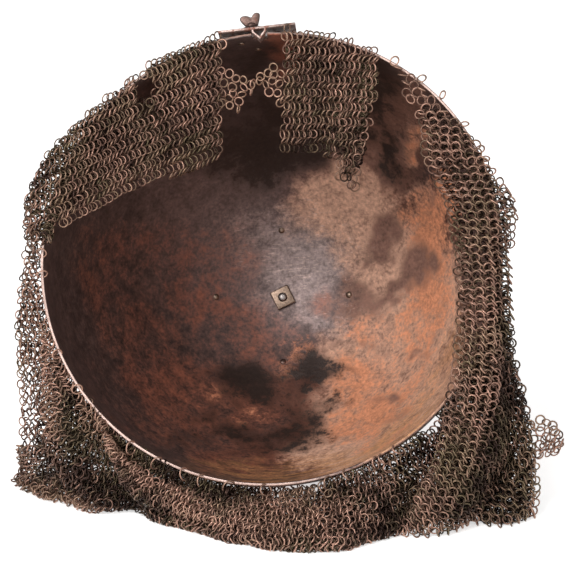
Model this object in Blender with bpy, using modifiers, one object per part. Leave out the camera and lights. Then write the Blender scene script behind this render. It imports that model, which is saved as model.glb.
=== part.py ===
"""Kulah khud helmet lying at rest: a domed iron skull with its crown spike, the
bracket of its lost nasal bar, and the mail curtain that hangs from its rim.

World frame: metres, +Z up, the floor at z = 0, the helmet's mouth facing -Y.
The hard pieces are modelled upright in the helmet's own frame (rim at z = 0,
crown up, brow at -Y) and carried by one empty, which lays the helmet down.
Run with: blender --background --python part.py
"""
from collections import namedtuple
from math import cos, pi, radians, sin, sqrt

import bmesh
import bpy
from mathutils import Euler, Matrix, Vector

MM = 0.001

# ---- driving dimensions ---------------------------------------------------
GAP = 0.3 * MM                    # clearance between touching pieces
FACET_SLACK = 0.45 * MM           # how far the skull's facets cut inside its true curve

SKULL_RADIUS = 104.0 * MM         # mean outer radius at the rim
SKULL_DEPTH = 138.0 * MM          # rim plane to the outside of the crown
SKULL_WALL = 1.4 * MM
SKULL_STEPS = 56                  # facets round the skull
SKULL_ROWS = 11
BELLY_ROWS = (4, 8)               # rows of facets made half as tall, where the bowl lies on the floor
RIM_OVAL = 0.013                  # share by which the rim is pulled out of round
RIM_OVAL_ANGLE = radians(53.0)    # where round the mouth it is widest

LEAN = radians(26.0)              # crown axis below the horizontal
TURN = radians(2.4)               # crown axis turned to +X
ROLL = radians(4.7)               # brow rolled to -X
RIM_CENTRE = Vector((-5.5 * MM, -72.56 * MM, 111.05 * MM))

BOLT_RADIUS = 2.0 * MM
BOLT_PROUD = 1.2 * MM             # bolt end standing out of the nut
NUT_SIDE = 9.4 * MM
NUT_THICKNESS = 1.8 * MM
NUT_TWIST = radians(-22.0)

PLATE_THICKNESS = 1.2 * MM        # lobed plate under the spike
PLATE_SEAT = 0.45 * MM            # its underside above the dome's true curve
PLATE_LOBE = 41.0 * MM            # reach of a lobe
PLATE_WAIST = 22.0 * MM           # reach between two lobes
PLATE_RIVET_CIRCLE = 33.0 * MM
PLATE_RIVET_TURN = radians(3.0)   # angle of the first lobe past the brow
SPIKE_HEIGHT = 111.9 * MM          # its tip reaches the floor that the helmet lies on

RIVET_SHANK = 1.0 * MM
RIVET_HEAD = 1.65 * MM
RIVET_HEAD_HEIGHT = 0.8 * MM

BRACKET_WIDTH = 35.5 * MM
BRACKET_LENGTH = 30.0 * MM        # along the helmet's axis
BRACKET_THICKNESS = 1.1 * MM
BRACKET_STAND_OFF = 1.5 * MM      # space for the nasal bar over the brow
BRACKET_SKEW = radians(-2.5)      # the plate has been knocked askew
CHANNEL_HALF_WIDTH = 3.3 * MM
CHANNEL_DEPTH = 4.9 * MM          # plate underside to the keel of the V
BRACKET_PROUD = 1.0 * MM          # plate and guide stand past the rim
CHANNEL_LENGTH = 9.0 * MM
CHANNEL_WALL = 0.9 * MM
CHANNEL_OFFSET = 0.9 * MM         # the V stands off the plate's middle

SCREW_OFFSET = -2.4 * MM
SCREW_SHANK = 1.5 * MM
SCREW_SET_BACK = 5.0 * MM         # screw axis behind the rim plane
SCREW_REACH = 0.9 * MM            # shank below the plate
WASHER_RADIUS = 5.4 * MM
WASHER_THICKNESS = 1.0 * MM
WING_THICKNESS = 2.2 * MM

MAIL_THICKNESS = 2.0 * MM
MAIL_FOLD = 2.2 * MM              # radius of the fold where the mail turns under
MAIL_OVER = 2.4 * MM              # mail's middle in front of the rim it is laid over
MAIL_HOOK = 3.0 * MM              # where hanging mail clears the rim, beside it
MAIL_LAP = 3.8 * MM               # least length of a flap that lies over the rim
SKIRT_CENTRE = 10.0 * MM          # the neck curtain billows away from here, behind the rim's centre

# One row for each section of mail, going round the rim.  phi is the angle round
# the mouth in degrees, clockwise from the top; lengths are in millimetres.
# A hanging flap: where it starts outside the rim, how far it drops, and how far
# its hem has swung across and forward.
Flap = namedtuple("Flap", "phi out drop swing_x swing_y")
FRONT_LEFT = [
    Flap(-15.0, 0.4, 52.0, 1.0, -1.0),
    Flap(-22.0, 0.6, 54.0, 1.0, -3.0),
    Flap(-30.0, 1.2, 51.0, -1.0, -1.0),
    Flap(-38.0, 1.2, 47.0, 1.5, -4.0),
    Flap(-46.0, 1.4, 40.0, 1.0, -2.0),
    Flap(-54.0, 3.0, 33.0, 1.0, -4.0),
    Flap(-62.0, 6.2, 25.0, 0.0, -4.0),
    Flap(-69.0, 8.4, 16.0, -1.0, -5.0),
    Flap(-75.0, 9.5, 6.0, -3.5, -4.0),
]
FRONT_RIGHT = [
    Flap(3.0, 0.2, 52.5, -2.0, -1.0),
    Flap(8.0, 0.2, 52.0, -1.5, -3.5),
    Flap(12.5, 0.0, 51.0, -1.0, -0.5),
    Flap(17.0, -0.4, 52.0, -1.0, -3.5),
    Flap(21.0, -0.4, 60.0, -2.5, -1.5),
    Flap(24.5, -0.4, 57.0, -5.5, -3.5),
    Flap(27.5, -0.4, 45.0, -8.0, -1.0),
]

# The strap of loose rings that joins the two front flaps: its place across, and
# the heights of its upper and lower edges above the rim's centre.
Strap = namedtuple("Strap", "x top bottom")
FRONT_STRAP = [
    Strap(-22.0, 79.5, 57.5),
    Strap(-15.0, 75.5, 60.0),
    Strap(-9.0, 72.0, 62.5),
    Strap(-5.0, 70.5, 66.0),
    Strap(-1.0, 75.5, 64.0),
    Strap(4.4, 79.0, 60.0),
]

# The long curtain on the right, laid over the rim: a row for each height above
# the rim's centre, its two edges, and how far it stands in front of the mouth at
# its left edge, its middle and its right edge.
Drape = namedtuple("Drape", "height left right lift_left lift_mid lift_right")
RIGHT_CURTAIN = [
    Drape(80.0, 54.0, 59.0, 3.0, 3.5, 3.0),
    Drape(68.0, 61.0, 71.5, 3.0, 4.0, 3.0),
    Drape(57.0, 68.0, 84.5, 3.0, 4.5, 3.0),
    Drape(46.0, 68.0, 94.0, 3.0, 5.5, 3.0),
    Drape(36.0, 72.0, 100.0, 3.5, 6.5, 2.5),
    Drape(25.0, 79.0, 108.5, 4.0, 8.0, 0.0),
    Drape(2.0, 82.0, 108.0, 5.0, 9.0, 1.5),
    Drape(-28.0, 83.0, 107.5, 6.0, 9.0, 2.5),
    Drape(-53.0, 79.0, 112.0, 8.0, 9.5, -2.0),
    Drape(-75.0, 73.0, 118.0, 10.0, 9.0, -7.0),
    Drape(-93.0, 64.0, 119.0, 11.0, 7.0, -13.0),
    Drape(-109.5, 56.0, 119.0, 5.0, 2.0, -17.0),
]

# The neck curtain: it hangs from the rim, meets the floor at its foot and is
# tucked back under the skull to its end.  belly is how far it billows out.
Skirt = namedtuple("Skirt", "phi foot_x foot_y end_x end_y belly")
NECK_CURTAIN = [
    Skirt(97.0, 110.0, -8.0, 90.0, -2.0, 2.0),
    Skirt(109.0, 106.0, -19.0, 84.0, 0.0, 2.0),
    Skirt(123.0, 93.0, -33.0, 72.0, 0.0, 2.0),
    Skirt(137.0, 76.0, -44.0, 58.0, 0.0, 3.0),
    Skirt(150.0, 58.0, -58.0, 45.0, -2.0, 3.0),
    Skirt(162.0, 41.0, -72.0, 32.0, -5.0, 3.0),
    Skirt(174.0, 23.0, -80.0, 17.0, -6.0, 2.5),
    Skirt(186.0, 3.0, -78.0, 1.0, -6.0, 2.5),
    Skirt(198.0, -18.0, -69.0, -16.0, -5.0, 2.5),
    Skirt(210.0, -38.0, -54.0, -32.0, -2.0, 2.0),
    Skirt(221.0, -57.0, -43.0, -46.0, 2.0, 2.0),
    Skirt(232.0, -78.0, -34.0, -60.0, 6.0, 4.0),
    Skirt(243.0, -98.0, -22.0, -72.0, 10.0, 6.0),
    Skirt(252.0, -112.0, -9.0, -83.0, 14.0, 7.0),
    Skirt(259.0, -118.0, 4.0, -90.0, 18.0, 7.0),
]

# The side strip hanging outside the left of the rim.
SIDE_STRIP = [
    Skirt(266.0, -110.5, 17.0, 0.0, 0.0, 2.0),
    Skirt(272.0, -114.0, 22.0, 0.0, 0.0, 6.5),
    Skirt(279.0, -116.5, 30.0, 0.0, 0.0, 9.0),
    Skirt(286.0, -115.5, 40.0, 0.0, 0.0, 10.0),
]

# A torn corner of mail sticking out of the right curtain.
TATTER = [
    Strap(119.5, -64.0, -84.0),
    Strap(125.0, -67.5, -83.0),
    Strap(130.5, -73.0, -81.5),
]

# ---- materials --------------------------------------------------------------
Finish = namedtuple("Finish", "colour roughness metallic")
FINISHES = {
    "rusted_iron": Finish((0.155, 0.075, 0.045), 0.62, 0.55),
    "dark_iron": Finish((0.085, 0.055, 0.045), 0.50, 0.80),
    "worn_steel": Finish((0.42, 0.36, 0.28), 0.42, 0.90),
    "mail_iron": Finish((0.125, 0.085, 0.070), 0.48, 0.80),
}


def material(part, finish):
    """Give a part its own Principled BSDF in one of the finishes."""
    mat = bpy.data.materials.new(part.name + "_" + finish)
    mat.use_nodes = True
    bsdf = mat.node_tree.nodes["Principled BSDF"]
    look = FINISHES[finish]
    bsdf.inputs["Base Color"].default_value = (*look.colour, 1.0)
    bsdf.inputs["Roughness"].default_value = look.roughness
    bsdf.inputs["Metallic"].default_value = look.metallic
    part.data.materials.append(mat)


# ---- scene, frames and small helpers ------------------------------------------
def clear_scene():
    for old in list(bpy.data.objects):
        bpy.data.objects.remove(old, do_unlink=True)


def collection(name):
    made = bpy.data.collections.new(name)
    bpy.context.scene.collection.children.link(made)
    return made


def add_part(name, mesh, finish, carrier=None):
    """Put a finished mesh in the helmet's collection as one named part."""
    part = bpy.data.objects.new(name, mesh)
    PARTS.objects.link(part)
    part.parent = carrier
    material(part, finish)
    mesh.shade_smooth()
    mesh.set_sharp_from_angle(angle=radians(35.0))
    return part


def mesh_from(bm, name):
    bmesh.ops.recalc_face_normals(bm, faces=bm.faces[:])
    mesh = bpy.data.meshes.new(name)
    bm.to_mesh(mesh)
    bm.free()
    return mesh


def turned_mesh(name, profile, steps):
    """A closed turned solid: the profile is (radius, height), run down its outer side."""
    bm = bmesh.new()
    points = [bm.verts.new((radius, 0.0, height)) for radius, height in profile]
    for start, end in zip(points, points[1:]):
        bm.edges.new((start, end))
    bmesh.ops.spin(bm, geom=bm.verts[:] + bm.edges[:], cent=(0, 0, 0), axis=(0, 0, 1),
                   angle=2 * pi, steps=steps, use_merge=True)
    bmesh.ops.remove_doubles(bm, verts=bm.verts[:], dist=1e-6)
    return mesh_from(bm, name)


def box_mesh(name, size, centre, bevel=0.0):
    bm = bmesh.new()
    bmesh.ops.create_cube(bm, size=1.0)
    bmesh.ops.scale(bm, vec=size, verts=bm.verts[:])
    bmesh.ops.translate(bm, vec=centre, verts=bm.verts[:])
    if bevel:
        bmesh.ops.bevel(bm, geom=bm.edges[:], offset=bevel, offset_type="OFFSET", segments=1,
                        profile=0.5, affect="EDGES", material=-1)
    return mesh_from(bm, name)


def rod_mesh(name, radius, z_low, z_high, segments):
    bm = bmesh.new()
    bmesh.ops.create_cone(bm, cap_ends=True, segments=segments, radius1=radius, radius2=radius,
                          depth=z_high - z_low)
    bmesh.ops.translate(bm, vec=(0, 0, (z_low + z_high) / 2), verts=bm.verts[:])
    return mesh_from(bm, name)


def extruded_mesh(name, outline, thickness):
    """A flat outline in XZ, pulled along +Y by its thickness."""
    bm = bmesh.new()
    corners = [bm.verts.new((x, 0.0, z)) for x, z in outline]
    face = bm.faces.new(corners)
    pulled = bmesh.ops.extrude_face_region(bm, geom=[face], use_keep_orig=True)["geom"]
    moved = [item for item in pulled if isinstance(item, bmesh.types.BMVert)]
    bmesh.ops.translate(bm, vec=(0, thickness, 0), verts=moved)
    return mesh_from(bm, name)


def cutter(name, mesh, matrix, carrier):
    """A guide that only cuts: never drawn and never a part."""
    tool = bpy.data.objects.new(name, mesh)
    CUTTERS.objects.link(tool)
    tool.parent = carrier
    tool.matrix_basis = matrix
    tool.hide_render = True
    tool.display_type = "WIRE"
    return tool


def boolean(part, tool, operation="DIFFERENCE"):
    cut = part.modifiers.new(tool.name, "BOOLEAN")
    cut.operation = operation
    cut.solver = "EXACT"
    cut.object = tool


def dome_height(radius, rim=SKULL_RADIUS, depth=SKULL_DEPTH):
    """Height of the dome over the rim plane at a distance from its axis."""
    return depth * sqrt(max(0.0, 1.0 - (radius / rim) ** 2))


def dome_tilt(radius):
    """Angle between the dome's normal and its axis at a distance from the axis."""
    slope = SKULL_DEPTH ** 2 * radius / (SKULL_RADIUS ** 2 * dome_height(radius))
    return Vector((slope, 0, 1)).angle(Vector((0, 0, 1)))


def rim_radius(angle):
    """Outer radius of the slightly oval rim; the angle is from the brow towards +X."""
    return SKULL_RADIUS * (1.0 + RIM_OVAL * cos(2 * (angle - ROLL - RIM_OVAL_ANGLE)))


LAY_DOWN = (Matrix.Translation(RIM_CENTRE) @ Matrix.Rotation(-TURN, 4, "Z")
            @ Matrix.Rotation(-(pi / 2 + LEAN), 4, "X") @ Matrix.Rotation(-ROLL, 4, "Z"))


def rim_point(phi, out=0.0, forward=0.0):
    """World point at the rim, phi degrees clockwise from the top of the mouth."""
    angle = radians(phi) + ROLL
    radius = rim_radius(angle) + out
    return LAY_DOWN @ Vector((radius * sin(angle), -radius * cos(angle), -forward))


def mouth_y(x, z):
    """World y of the mouth's plane at a place across and a height."""
    normal = LAY_DOWN.to_3x3() @ Vector((0, 0, 1))
    return RIM_CENTRE.y - (normal.x * (x - RIM_CENTRE.x) + normal.z * (z - RIM_CENTRE.z)) / normal.y


# ---- skull and crown ------------------------------------------------------------
def skull(carrier):
    hole = BOLT_RADIUS + GAP
    rows = [float(row) for row in range(SKULL_ROWS)]
    rows += [row + 0.5 for row in range(*BELLY_ROWS)]
    outer = []
    inner = []
    for row in sorted(rows):
        turn = (pi / 2) * (row + 0.35) / (SKULL_ROWS - 1 + 0.35)
        if row == 0:
            outer.append((hole, dome_height(hole)))
            inner.append((hole, dome_height(hole, SKULL_RADIUS - SKULL_WALL, SKULL_DEPTH - SKULL_WALL)))
            continue
        outer.append((SKULL_RADIUS * sin(turn), max(0.0, SKULL_DEPTH * cos(turn))))
        inner.append(((SKULL_RADIUS - SKULL_WALL) * sin(turn),
                      max(0.0, (SKULL_DEPTH - SKULL_WALL) * cos(turn))))
    profile = outer + inner[::-1] + [outer[0]]
    part = add_part("skull", turned_mesh("skull", profile, SKULL_STEPS), "rusted_iron", carrier)
    part.rotation_euler = Euler((0, 0, RIM_OVAL_ANGLE + ROLL - pi / 2))
    part.scale = (1.0 + RIM_OVAL, 1.0 - RIM_OVAL, 1.0)
    for index, place in enumerate(plate_rivet_places()):
        hole_rod = rod_mesh("rivet_hole", RIVET_SHANK + GAP, -4 * MM, 4 * MM, 8)
        boolean(part, cutter("rivet_hole_%d" % index, hole_rod, place, carrier))
    for index, place in enumerate(bracket_rivet_places()):
        hole_rod = rod_mesh("bracket_hole", RIVET_SHANK + GAP, -5 * MM, 5 * MM, 8)
        boolean(part, cutter("bracket_hole_%d" % index, hole_rod, place, carrier))
    notch_size = (2 * (CHANNEL_HALF_WIDTH + GAP), 16 * MM, 2 * (CHANNEL_LENGTH - BRACKET_PROUD + GAP))
    notch = box_mesh("brow_notch", notch_size, (CHANNEL_OFFSET, 0.0, 0.0))
    boolean(part, cutter("brow_notch", notch, bracket_frame(), carrier))
    return part


def crown_nut(carrier):
    """Square nut inside the crown, under the spike's bolt."""
    corner = NUT_SIDE / sqrt(2)
    top = dome_height(corner, SKULL_RADIUS - SKULL_WALL, SKULL_DEPTH - SKULL_WALL) - GAP
    mesh = box_mesh("crown_nut", (NUT_SIDE, NUT_SIDE, NUT_THICKNESS), (0, 0, top - NUT_THICKNESS / 2),
                    bevel=0.35 * MM)
    part = add_part("crown_nut", mesh, "worn_steel", carrier)
    part.rotation_euler = Euler((0, 0, NUT_TWIST))
    bore = rod_mesh("nut_bore", BOLT_RADIUS + GAP, top - 2 * NUT_THICKNESS, top + NUT_THICKNESS, 12)
    boolean(part, cutter("nut_bore", bore, Matrix.Identity(4), carrier))
    return top - NUT_THICKNESS


def plate_reach(angle):
    """Outline of the four-lobed plate: its reach at an angle from the brow."""
    lobe = (0.5 + 0.5 * cos(4 * (angle - PLATE_RIVET_TURN))) ** 1.6
    return PLATE_WAIST + (PLATE_LOBE - PLATE_WAIST) * lobe


def crown_plate(carrier):
    """The lobed plate under the spike, riveted over the crown."""
    rings = [0.0, 0.35, 0.68, 1.0]
    segments = 40
    hole = BOLT_RADIUS + GAP
    bm = bmesh.new()
    bmesh.ops.create_circle(bm, cap_ends=False, segments=segments, radius=hole)
    loop = bm.edges[:]
    centre_verts = bm.verts[:]
    rows = [centre_verts]
    for _ in rings[1:]:
        grown = bmesh.ops.extrude_edge_only(bm, edges=loop)["geom"]
        loop = [item for item in grown if isinstance(item, bmesh.types.BMEdge)]
        rows.append([item for item in grown if isinstance(item, bmesh.types.BMVert)])
    for share, row in zip(rings, rows):
        for vert in row:
            direction = Vector((vert.co.x, vert.co.y, 0.0)).normalized()
            angle = Vector((0, -1)).angle_signed(Vector((direction.x, direction.y)))
            reach = hole + share * (plate_reach(-angle) - hole)
            vert.co = direction * reach
            vert.co.z = dome_height(reach) + PLATE_SEAT
    mesh = mesh_from(bm, "crown_plate")
    part = add_part("crown_plate", mesh, "dark_iron", carrier)
    if mesh.polygons[0].normal.z < 0:
        mesh.flip_normals()
    shell = part.modifiers.new("thickness", "SOLIDIFY")
    shell.thickness = PLATE_THICKNESS
    shell.offset = 1.0
    for index, place in enumerate(plate_rivet_places()):
        hole_rod = rod_mesh("plate_hole", RIVET_SHANK + GAP, -4 * MM, 5 * MM, 8)
        boolean(part, cutter("plate_hole_%d" % index, hole_rod, place, carrier))


def spike(carrier, nut_face):
    """Square tapered spike on a round collar, with its bolt down through the nut."""
    foot = SKULL_DEPTH + PLATE_SEAT + PLATE_THICKNESS + GAP
    collar = [(0.0, 5.0), (7.6, 4.6), (9.0, 2.8), (8.2, 0.9), (9.4, 0.0)]
    body = [(0.0, foot + 5.0 * MM)] + [(r * MM, foot + z * MM) for r, z in collar[1:]]
    body += [(BOLT_RADIUS, foot), (BOLT_RADIUS, nut_face - BOLT_PROUD + 0.4 * MM),
             (BOLT_RADIUS - 0.5 * MM, nut_face - BOLT_PROUD), (0.0, nut_face - BOLT_PROUD)]
    part = add_part("spike", turned_mesh("spike", body, 20), "dark_iron", carrier)
    blade = [(0.0, 1.0), (0.9, 1.0), (4.2, 0.62), (6.4, 0.30), (6.8, 0.14), (5.2, 0.034), (0.0, 0.034)]
    blade = [(radius * MM, foot + share * SPIKE_HEIGHT) for radius, share in blade]
    square = cutter("spike_blade", turned_mesh("spike_blade", blade, 4),
                    Matrix.Rotation(pi / 4, 4, "Z"), carrier)
    boolean(part, square, "UNION")


def plate_rivet_places():
    """Frames of the crown's four rivets: origin on the skull, +Z out of it."""
    places = []
    for index in range(4):
        angle = PLATE_RIVET_TURN + index * pi / 2
        upright = Matrix.Translation((0, 0, dome_height(PLATE_RIVET_CIRCLE)))
        tilt = Matrix.Rotation(dome_tilt(PLATE_RIVET_CIRCLE), 4, "X")
        out = Matrix.Translation((0, -PLATE_RIVET_CIRCLE, 0))
        places.append(Matrix.Rotation(angle, 4, "Z") @ out @ upright @ tilt)
    return places


def rivet_mesh(name, inside, outside):
    """A rivet through a wall: domed heads standing on the two faces."""
    head = RIVET_HEAD
    rise = RIVET_HEAD_HEIGHT
    profile = [(0.0, outside + rise), (0.7 * head, outside + 0.75 * rise), (head, outside),
               (RIVET_SHANK, outside), (RIVET_SHANK, -inside), (head, -inside),
               (0.7 * head, -inside - 0.75 * rise), (0.0, -inside - rise)]
    return turned_mesh(name, profile, 10)


def crown_rivets(carrier):
    inside = SKULL_WALL + GAP + FACET_SLACK
    outside = PLATE_SEAT + PLATE_THICKNESS + GAP
    for index, place in enumerate(plate_rivet_places()):
        name = "crown_rivet_%d" % (index + 1)
        part = add_part(name, rivet_mesh(name, inside, outside), "dark_iron", carrier)
        part.matrix_basis = place


# ---- nasal bracket ---------------------------------------------------------------
def bracket_frame():
    """The bracket's frame on the plate's underside: X across, -Y outward, Z back along the helmet."""
    face = rim_radius(0.0) + BRACKET_STAND_OFF
    return Matrix.Translation((0, -face, 0)) @ Matrix.Rotation(BRACKET_SKEW, 4, "Z")


def bracket_rivet_places():
    """Frames of the two rivets that hold the bracket: origin on the brow, +Z outward."""
    places = []
    radius = rim_radius(0.0)
    for across, back in ((-0.8 * MM, 23.0 * MM), (-8.0 * MM, 11.0 * MM)):
        brow = sqrt(radius ** 2 - across ** 2) * sqrt(1 - (back / SKULL_DEPTH) ** 2)
        sunk = radius + BRACKET_STAND_OFF - brow
        seat = bracket_frame() @ Matrix.Translation((across, sunk, back))
        places.append(seat @ Matrix.Rotation(pi / 2, 4, "X"))
    return places


def nasal_bracket(carrier):
    """Plate over the brow with the V-shaped guide that held the nasal bar."""
    length = BRACKET_LENGTH
    plate = box_mesh("nasal_bracket", (BRACKET_WIDTH, BRACKET_THICKNESS, length),
                     (0, -BRACKET_THICKNESS / 2, length / 2 - BRACKET_PROUD), bevel=0.25 * MM)
    part = add_part("nasal_bracket", plate, "dark_iron", carrier)
    part.matrix_basis = bracket_frame()
    half = CHANNEL_HALF_WIDTH
    wall = CHANNEL_WALL
    overlap = 0.3 * MM
    shoulder = 1.2 * MM
    outline = [(-half, -overlap), (-half, shoulder), (0.0, CHANNEL_DEPTH), (half, shoulder),
               (half, -overlap), (half - wall, -overlap), (half - wall, 0.8 * shoulder),
               (0.0, CHANNEL_DEPTH - 1.6 * wall), (-half + wall, 0.8 * shoulder), (-half + wall, -overlap)]
    guide = extruded_mesh("bracket_guide", outline, CHANNEL_LENGTH)
    lay = (bracket_frame() @ Matrix.Translation((CHANNEL_OFFSET, 0, CHANNEL_LENGTH - BRACKET_PROUD))
           @ Matrix.Rotation(-pi / 2, 4, "X"))
    boolean(part, cutter("bracket_guide", guide, lay, carrier), "UNION")
    hole = rod_mesh("screw_hole", SCREW_SHANK + GAP, -4 * MM, 4 * MM, 12)
    boolean(part, cutter("screw_hole", hole, screw_frame(), carrier))
    for index, place in enumerate(bracket_rivet_places()):
        rivet_hole = rod_mesh("bracket_rivet_hole", RIVET_SHANK + GAP, 1 * MM, 9 * MM, 8)
        boolean(part, cutter("bracket_rivet_hole_%d" % index, rivet_hole, place, carrier))


def screw_frame():
    """Frame of the thumb screw: origin on the plate's underside, +Z outward along its axis."""
    seat = bracket_frame() @ Matrix.Translation((SCREW_OFFSET, 0, SCREW_SET_BACK))
    return seat @ Matrix.Rotation(pi / 2, 4, "X")


def bracket_rivets(carrier):
    frame = bracket_frame().inverted()
    inside = SKULL_WALL + GAP + 2 * FACET_SLACK
    for index, place in enumerate(bracket_rivet_places()):
        name = "bracket_rivet_%d" % (index + 1)
        stand = (frame @ place.translation).y + BRACKET_THICKNESS + GAP
        part = add_part(name, rivet_mesh(name, inside, stand), "worn_steel", carrier)
        part.matrix_basis = place


def screw_washer(carrier):
    """Lens-shaped washer between the plate and the thumb screw."""
    hole = SCREW_SHANK + GAP
    base = BRACKET_THICKNESS + GAP
    top = base + WASHER_THICKNESS
    profile = [(hole, top), (0.6 * WASHER_RADIUS, top - 0.15 * MM), (WASHER_RADIUS, base + 0.25 * MM),
               (WASHER_RADIUS, base), (hole, base), (hole, top)]
    part = add_part("screw_washer", turned_mesh("screw_washer", profile, 20), "dark_iron", carrier)
    part.matrix_basis = screw_frame()


def thumb_screw(carrier):
    """Heart-shaped thumb screw; it turns about its own axis."""
    seat = BRACKET_THICKNESS + GAP + WASHER_THICKNESS + GAP
    shank = [(0.0, seat + 1.6 * MM), (2.0 * MM, seat + 1.4 * MM), (2.6 * MM, seat), (SCREW_SHANK, seat),
             (SCREW_SHANK, -SCREW_REACH + 0.4 * MM), (SCREW_SHANK - 0.4 * MM, -SCREW_REACH),
             (0.0, -SCREW_REACH)]
    part = add_part("thumb_screw", turned_mesh("thumb_screw", shank, 12), "dark_iron", carrier)
    part.matrix_basis = screw_frame()
    outline = [(-2.7, 0.2), (-4.2, 2.0), (-4.9, 3.4), (-4.3, 4.6), (-2.9, 5.1), (-1.4, 5.0), (0.4, 4.0),
               (1.2, 5.2), (2.3, 6.0), (4.0, 5.7), (4.4, 4.8), (3.9, 2.4), (3.1, 0.2)]
    wing = extruded_mesh("screw_wing", [(x * MM, seat + z * MM) for x, z in outline], WING_THICKNESS)
    lay = screw_frame() @ Matrix.Translation((0, -WING_THICKNESS / 2, 0))
    boolean(part, cutter("screw_wing", wing, lay, carrier), "UNION")


# ---- mail ------------------------------------------------------------------------
def spline(points, share):
    """Point on a Catmull-Rom curve through the points, share from 0 to 1."""
    place = share * (len(points) - 1)
    index = min(int(place), len(points) - 2)
    t = place - index
    first = points[index]
    second = points[index + 1]
    before = points[index - 1] if index else first * 2 - second
    after = points[index + 2] if index + 2 < len(points) else second * 2 - first
    return 0.5 * (2 * first + (second - before) * t
                  + (2 * before - 5 * first + 4 * second - after) * t ** 2
                  + (3 * first - before - 3 * second + after) * t ** 3)


def mail_sheet(name, sections, across, carrier=None):
    """Loft a mail sheet through sections of equal point counts and give it thickness."""
    along = len(sections[0])
    bm = bmesh.new()
    bmesh.ops.create_grid(bm, x_segments=across - 1, y_segments=along - 1, size=1.0)
    columns = [[section[row] for section in sections] for row in range(along)]
    for vert in bm.verts:
        i = round((vert.co.x + 1) / 2 * (across - 1))
        j = round((vert.co.y + 1) / 2 * (along - 1))
        vert.co = spline(columns[j], i / (across - 1))
    mesh = bpy.data.meshes.new(name)
    bm.to_mesh(mesh)
    bm.free()
    part = add_part(name, mesh, "mail_iron", carrier)
    shell = part.modifiers.new("thickness", "SOLIDIFY")
    shell.thickness = MAIL_THICKNESS
    shell.offset = 0.0
    return part


def flap_section(row, count=10):
    """From outside the rim, over its edge, and straight down inside the mouth."""
    start = rim_point(row.phi, row.out * MM, MAIL_OVER)
    over = rim_point(row.phi, min(-MAIL_HOOK, row.out * MM - MAIL_LAP), MAIL_OVER)
    drop = row.drop * MM
    half = over + Vector((0.35 * row.swing_x * MM, 0.6 * row.swing_y * MM, -0.5 * drop))
    hem = over + Vector((row.swing_x * MM, row.swing_y * MM, -drop))
    path = [start, over, half, hem]
    return [spline(path, step / (count - 1)) for step in range(count)]


def strap_section(row, y, count=4):
    top = RIM_CENTRE + Vector((row.x * MM, y, row.top * MM))
    bottom = RIM_CENTRE + Vector((row.x * MM, y, row.bottom * MM))
    return [top.lerp(bottom, step / (count - 1)) for step in range(count)]


def drape_section(row, count=9):
    """One level of the right curtain, from its left edge to its right edge."""
    z = RIM_CENTRE.z + row.height * MM
    points = []
    for step in range(count):
        share = step / (count - 1)
        x = RIM_CENTRE.x + (row.left + (row.right - row.left) * share) * MM
        lift = (row.lift_left * (1 - share) * (1 - 2 * share) + 4 * row.lift_mid * share * (1 - share)
                - row.lift_right * share * (1 - 2 * share))
        points.append(Vector((x, mouth_y(x, z) - lift * MM / cos(LEAN), z)))
    return points


def skirt_section(row, drops=8, folds=4, unders=5):
    """From the rim down to the floor, round the fold and back under the skull."""
    start = rim_point(row.phi, MAIL_HOOK, 0.8 * MM)
    foot = RIM_CENTRE + Vector((row.foot_x * MM, row.foot_y * MM, 0))
    end = RIM_CENTRE + Vector((row.end_x * MM, row.end_y * MM, 0))
    foot.z = end.z = MAIL_THICKNESS / 2
    heading = (foot - end).normalized()
    turn = foot - heading * MAIL_FOLD
    top = turn + Vector((0, 0, 2 * MAIL_FOLD))
    outward = Vector((foot.x - RIM_CENTRE.x, foot.y - RIM_CENTRE.y - SKIRT_CENTRE, 0)).normalized()
    middle = start.lerp(top, 0.5) + outward * row.belly * MM
    points = [spline([start, middle, top], step / drops) for step in range(drops)]
    for step in range(folds + 1):
        angle = pi * step / folds
        points.append(turn + heading * MAIL_FOLD * sin(angle)
                      + Vector((0, 0, MAIL_FOLD * (1 + cos(angle)))))
    points += [turn.lerp(end, (step + 1) / unders) for step in range(unders)]
    return points


def strip_section(row, count=16):
    """From the rim over a shoulder and down outside the skull to just over the floor."""
    start = rim_point(row.phi, MAIL_HOOK, -1.0 * MM)
    foot = RIM_CENTRE + Vector((row.foot_x * MM, row.foot_y * MM, 0))
    foot.z = MAIL_THICKNESS / 2 + GAP
    shoulder = start + Vector((-row.belly * MM, 3 * MM, -17 * MM))
    middle = shoulder.lerp(foot, 0.5)
    return [spline([start, shoulder, middle, foot], step / (count - 1)) for step in range(count)]


def mail():
    front_y = rim_point(0.0).y - RIM_CENTRE.y - MAIL_HOOK
    mail_sheet("mail_front_left", [flap_section(row) for row in FRONT_LEFT], 20)
    mail_sheet("mail_front_right", [flap_section(row) for row in FRONT_RIGHT], 12)
    mail_sheet("mail_front_strap", [strap_section(row, front_y) for row in FRONT_STRAP], 9)
    mail_sheet("mail_right_curtain", [drape_section(row) for row in RIGHT_CURTAIN], 30)
    mail_sheet("mail_neck_curtain", [skirt_section(row) for row in NECK_CURTAIN], 43)
    mail_sheet("mail_side_strip", [strip_section(row) for row in SIDE_STRIP], 7)
    tatter_y = mouth_y(RIM_CENTRE.x + 118 * MM, RIM_CENTRE.z - 74 * MM) + 7.5 * MM - RIM_CENTRE.y
    mail_sheet("mail_tatter", [strap_section(row, tatter_y) for row in TATTER], 4)


def main():
    carrier = bpy.data.objects.new("helmet_frame", None)
    PARTS.objects.link(carrier)
    carrier.matrix_world = LAY_DOWN
    skull(carrier)
    nut_face = crown_nut(carrier)
    crown_plate(carrier)
    spike(carrier, nut_face)
    crown_rivets(carrier)
    nasal_bracket(carrier)
    bracket_rivets(carrier)
    screw_washer(carrier)
    thumb_screw(carrier)
    mail()


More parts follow.
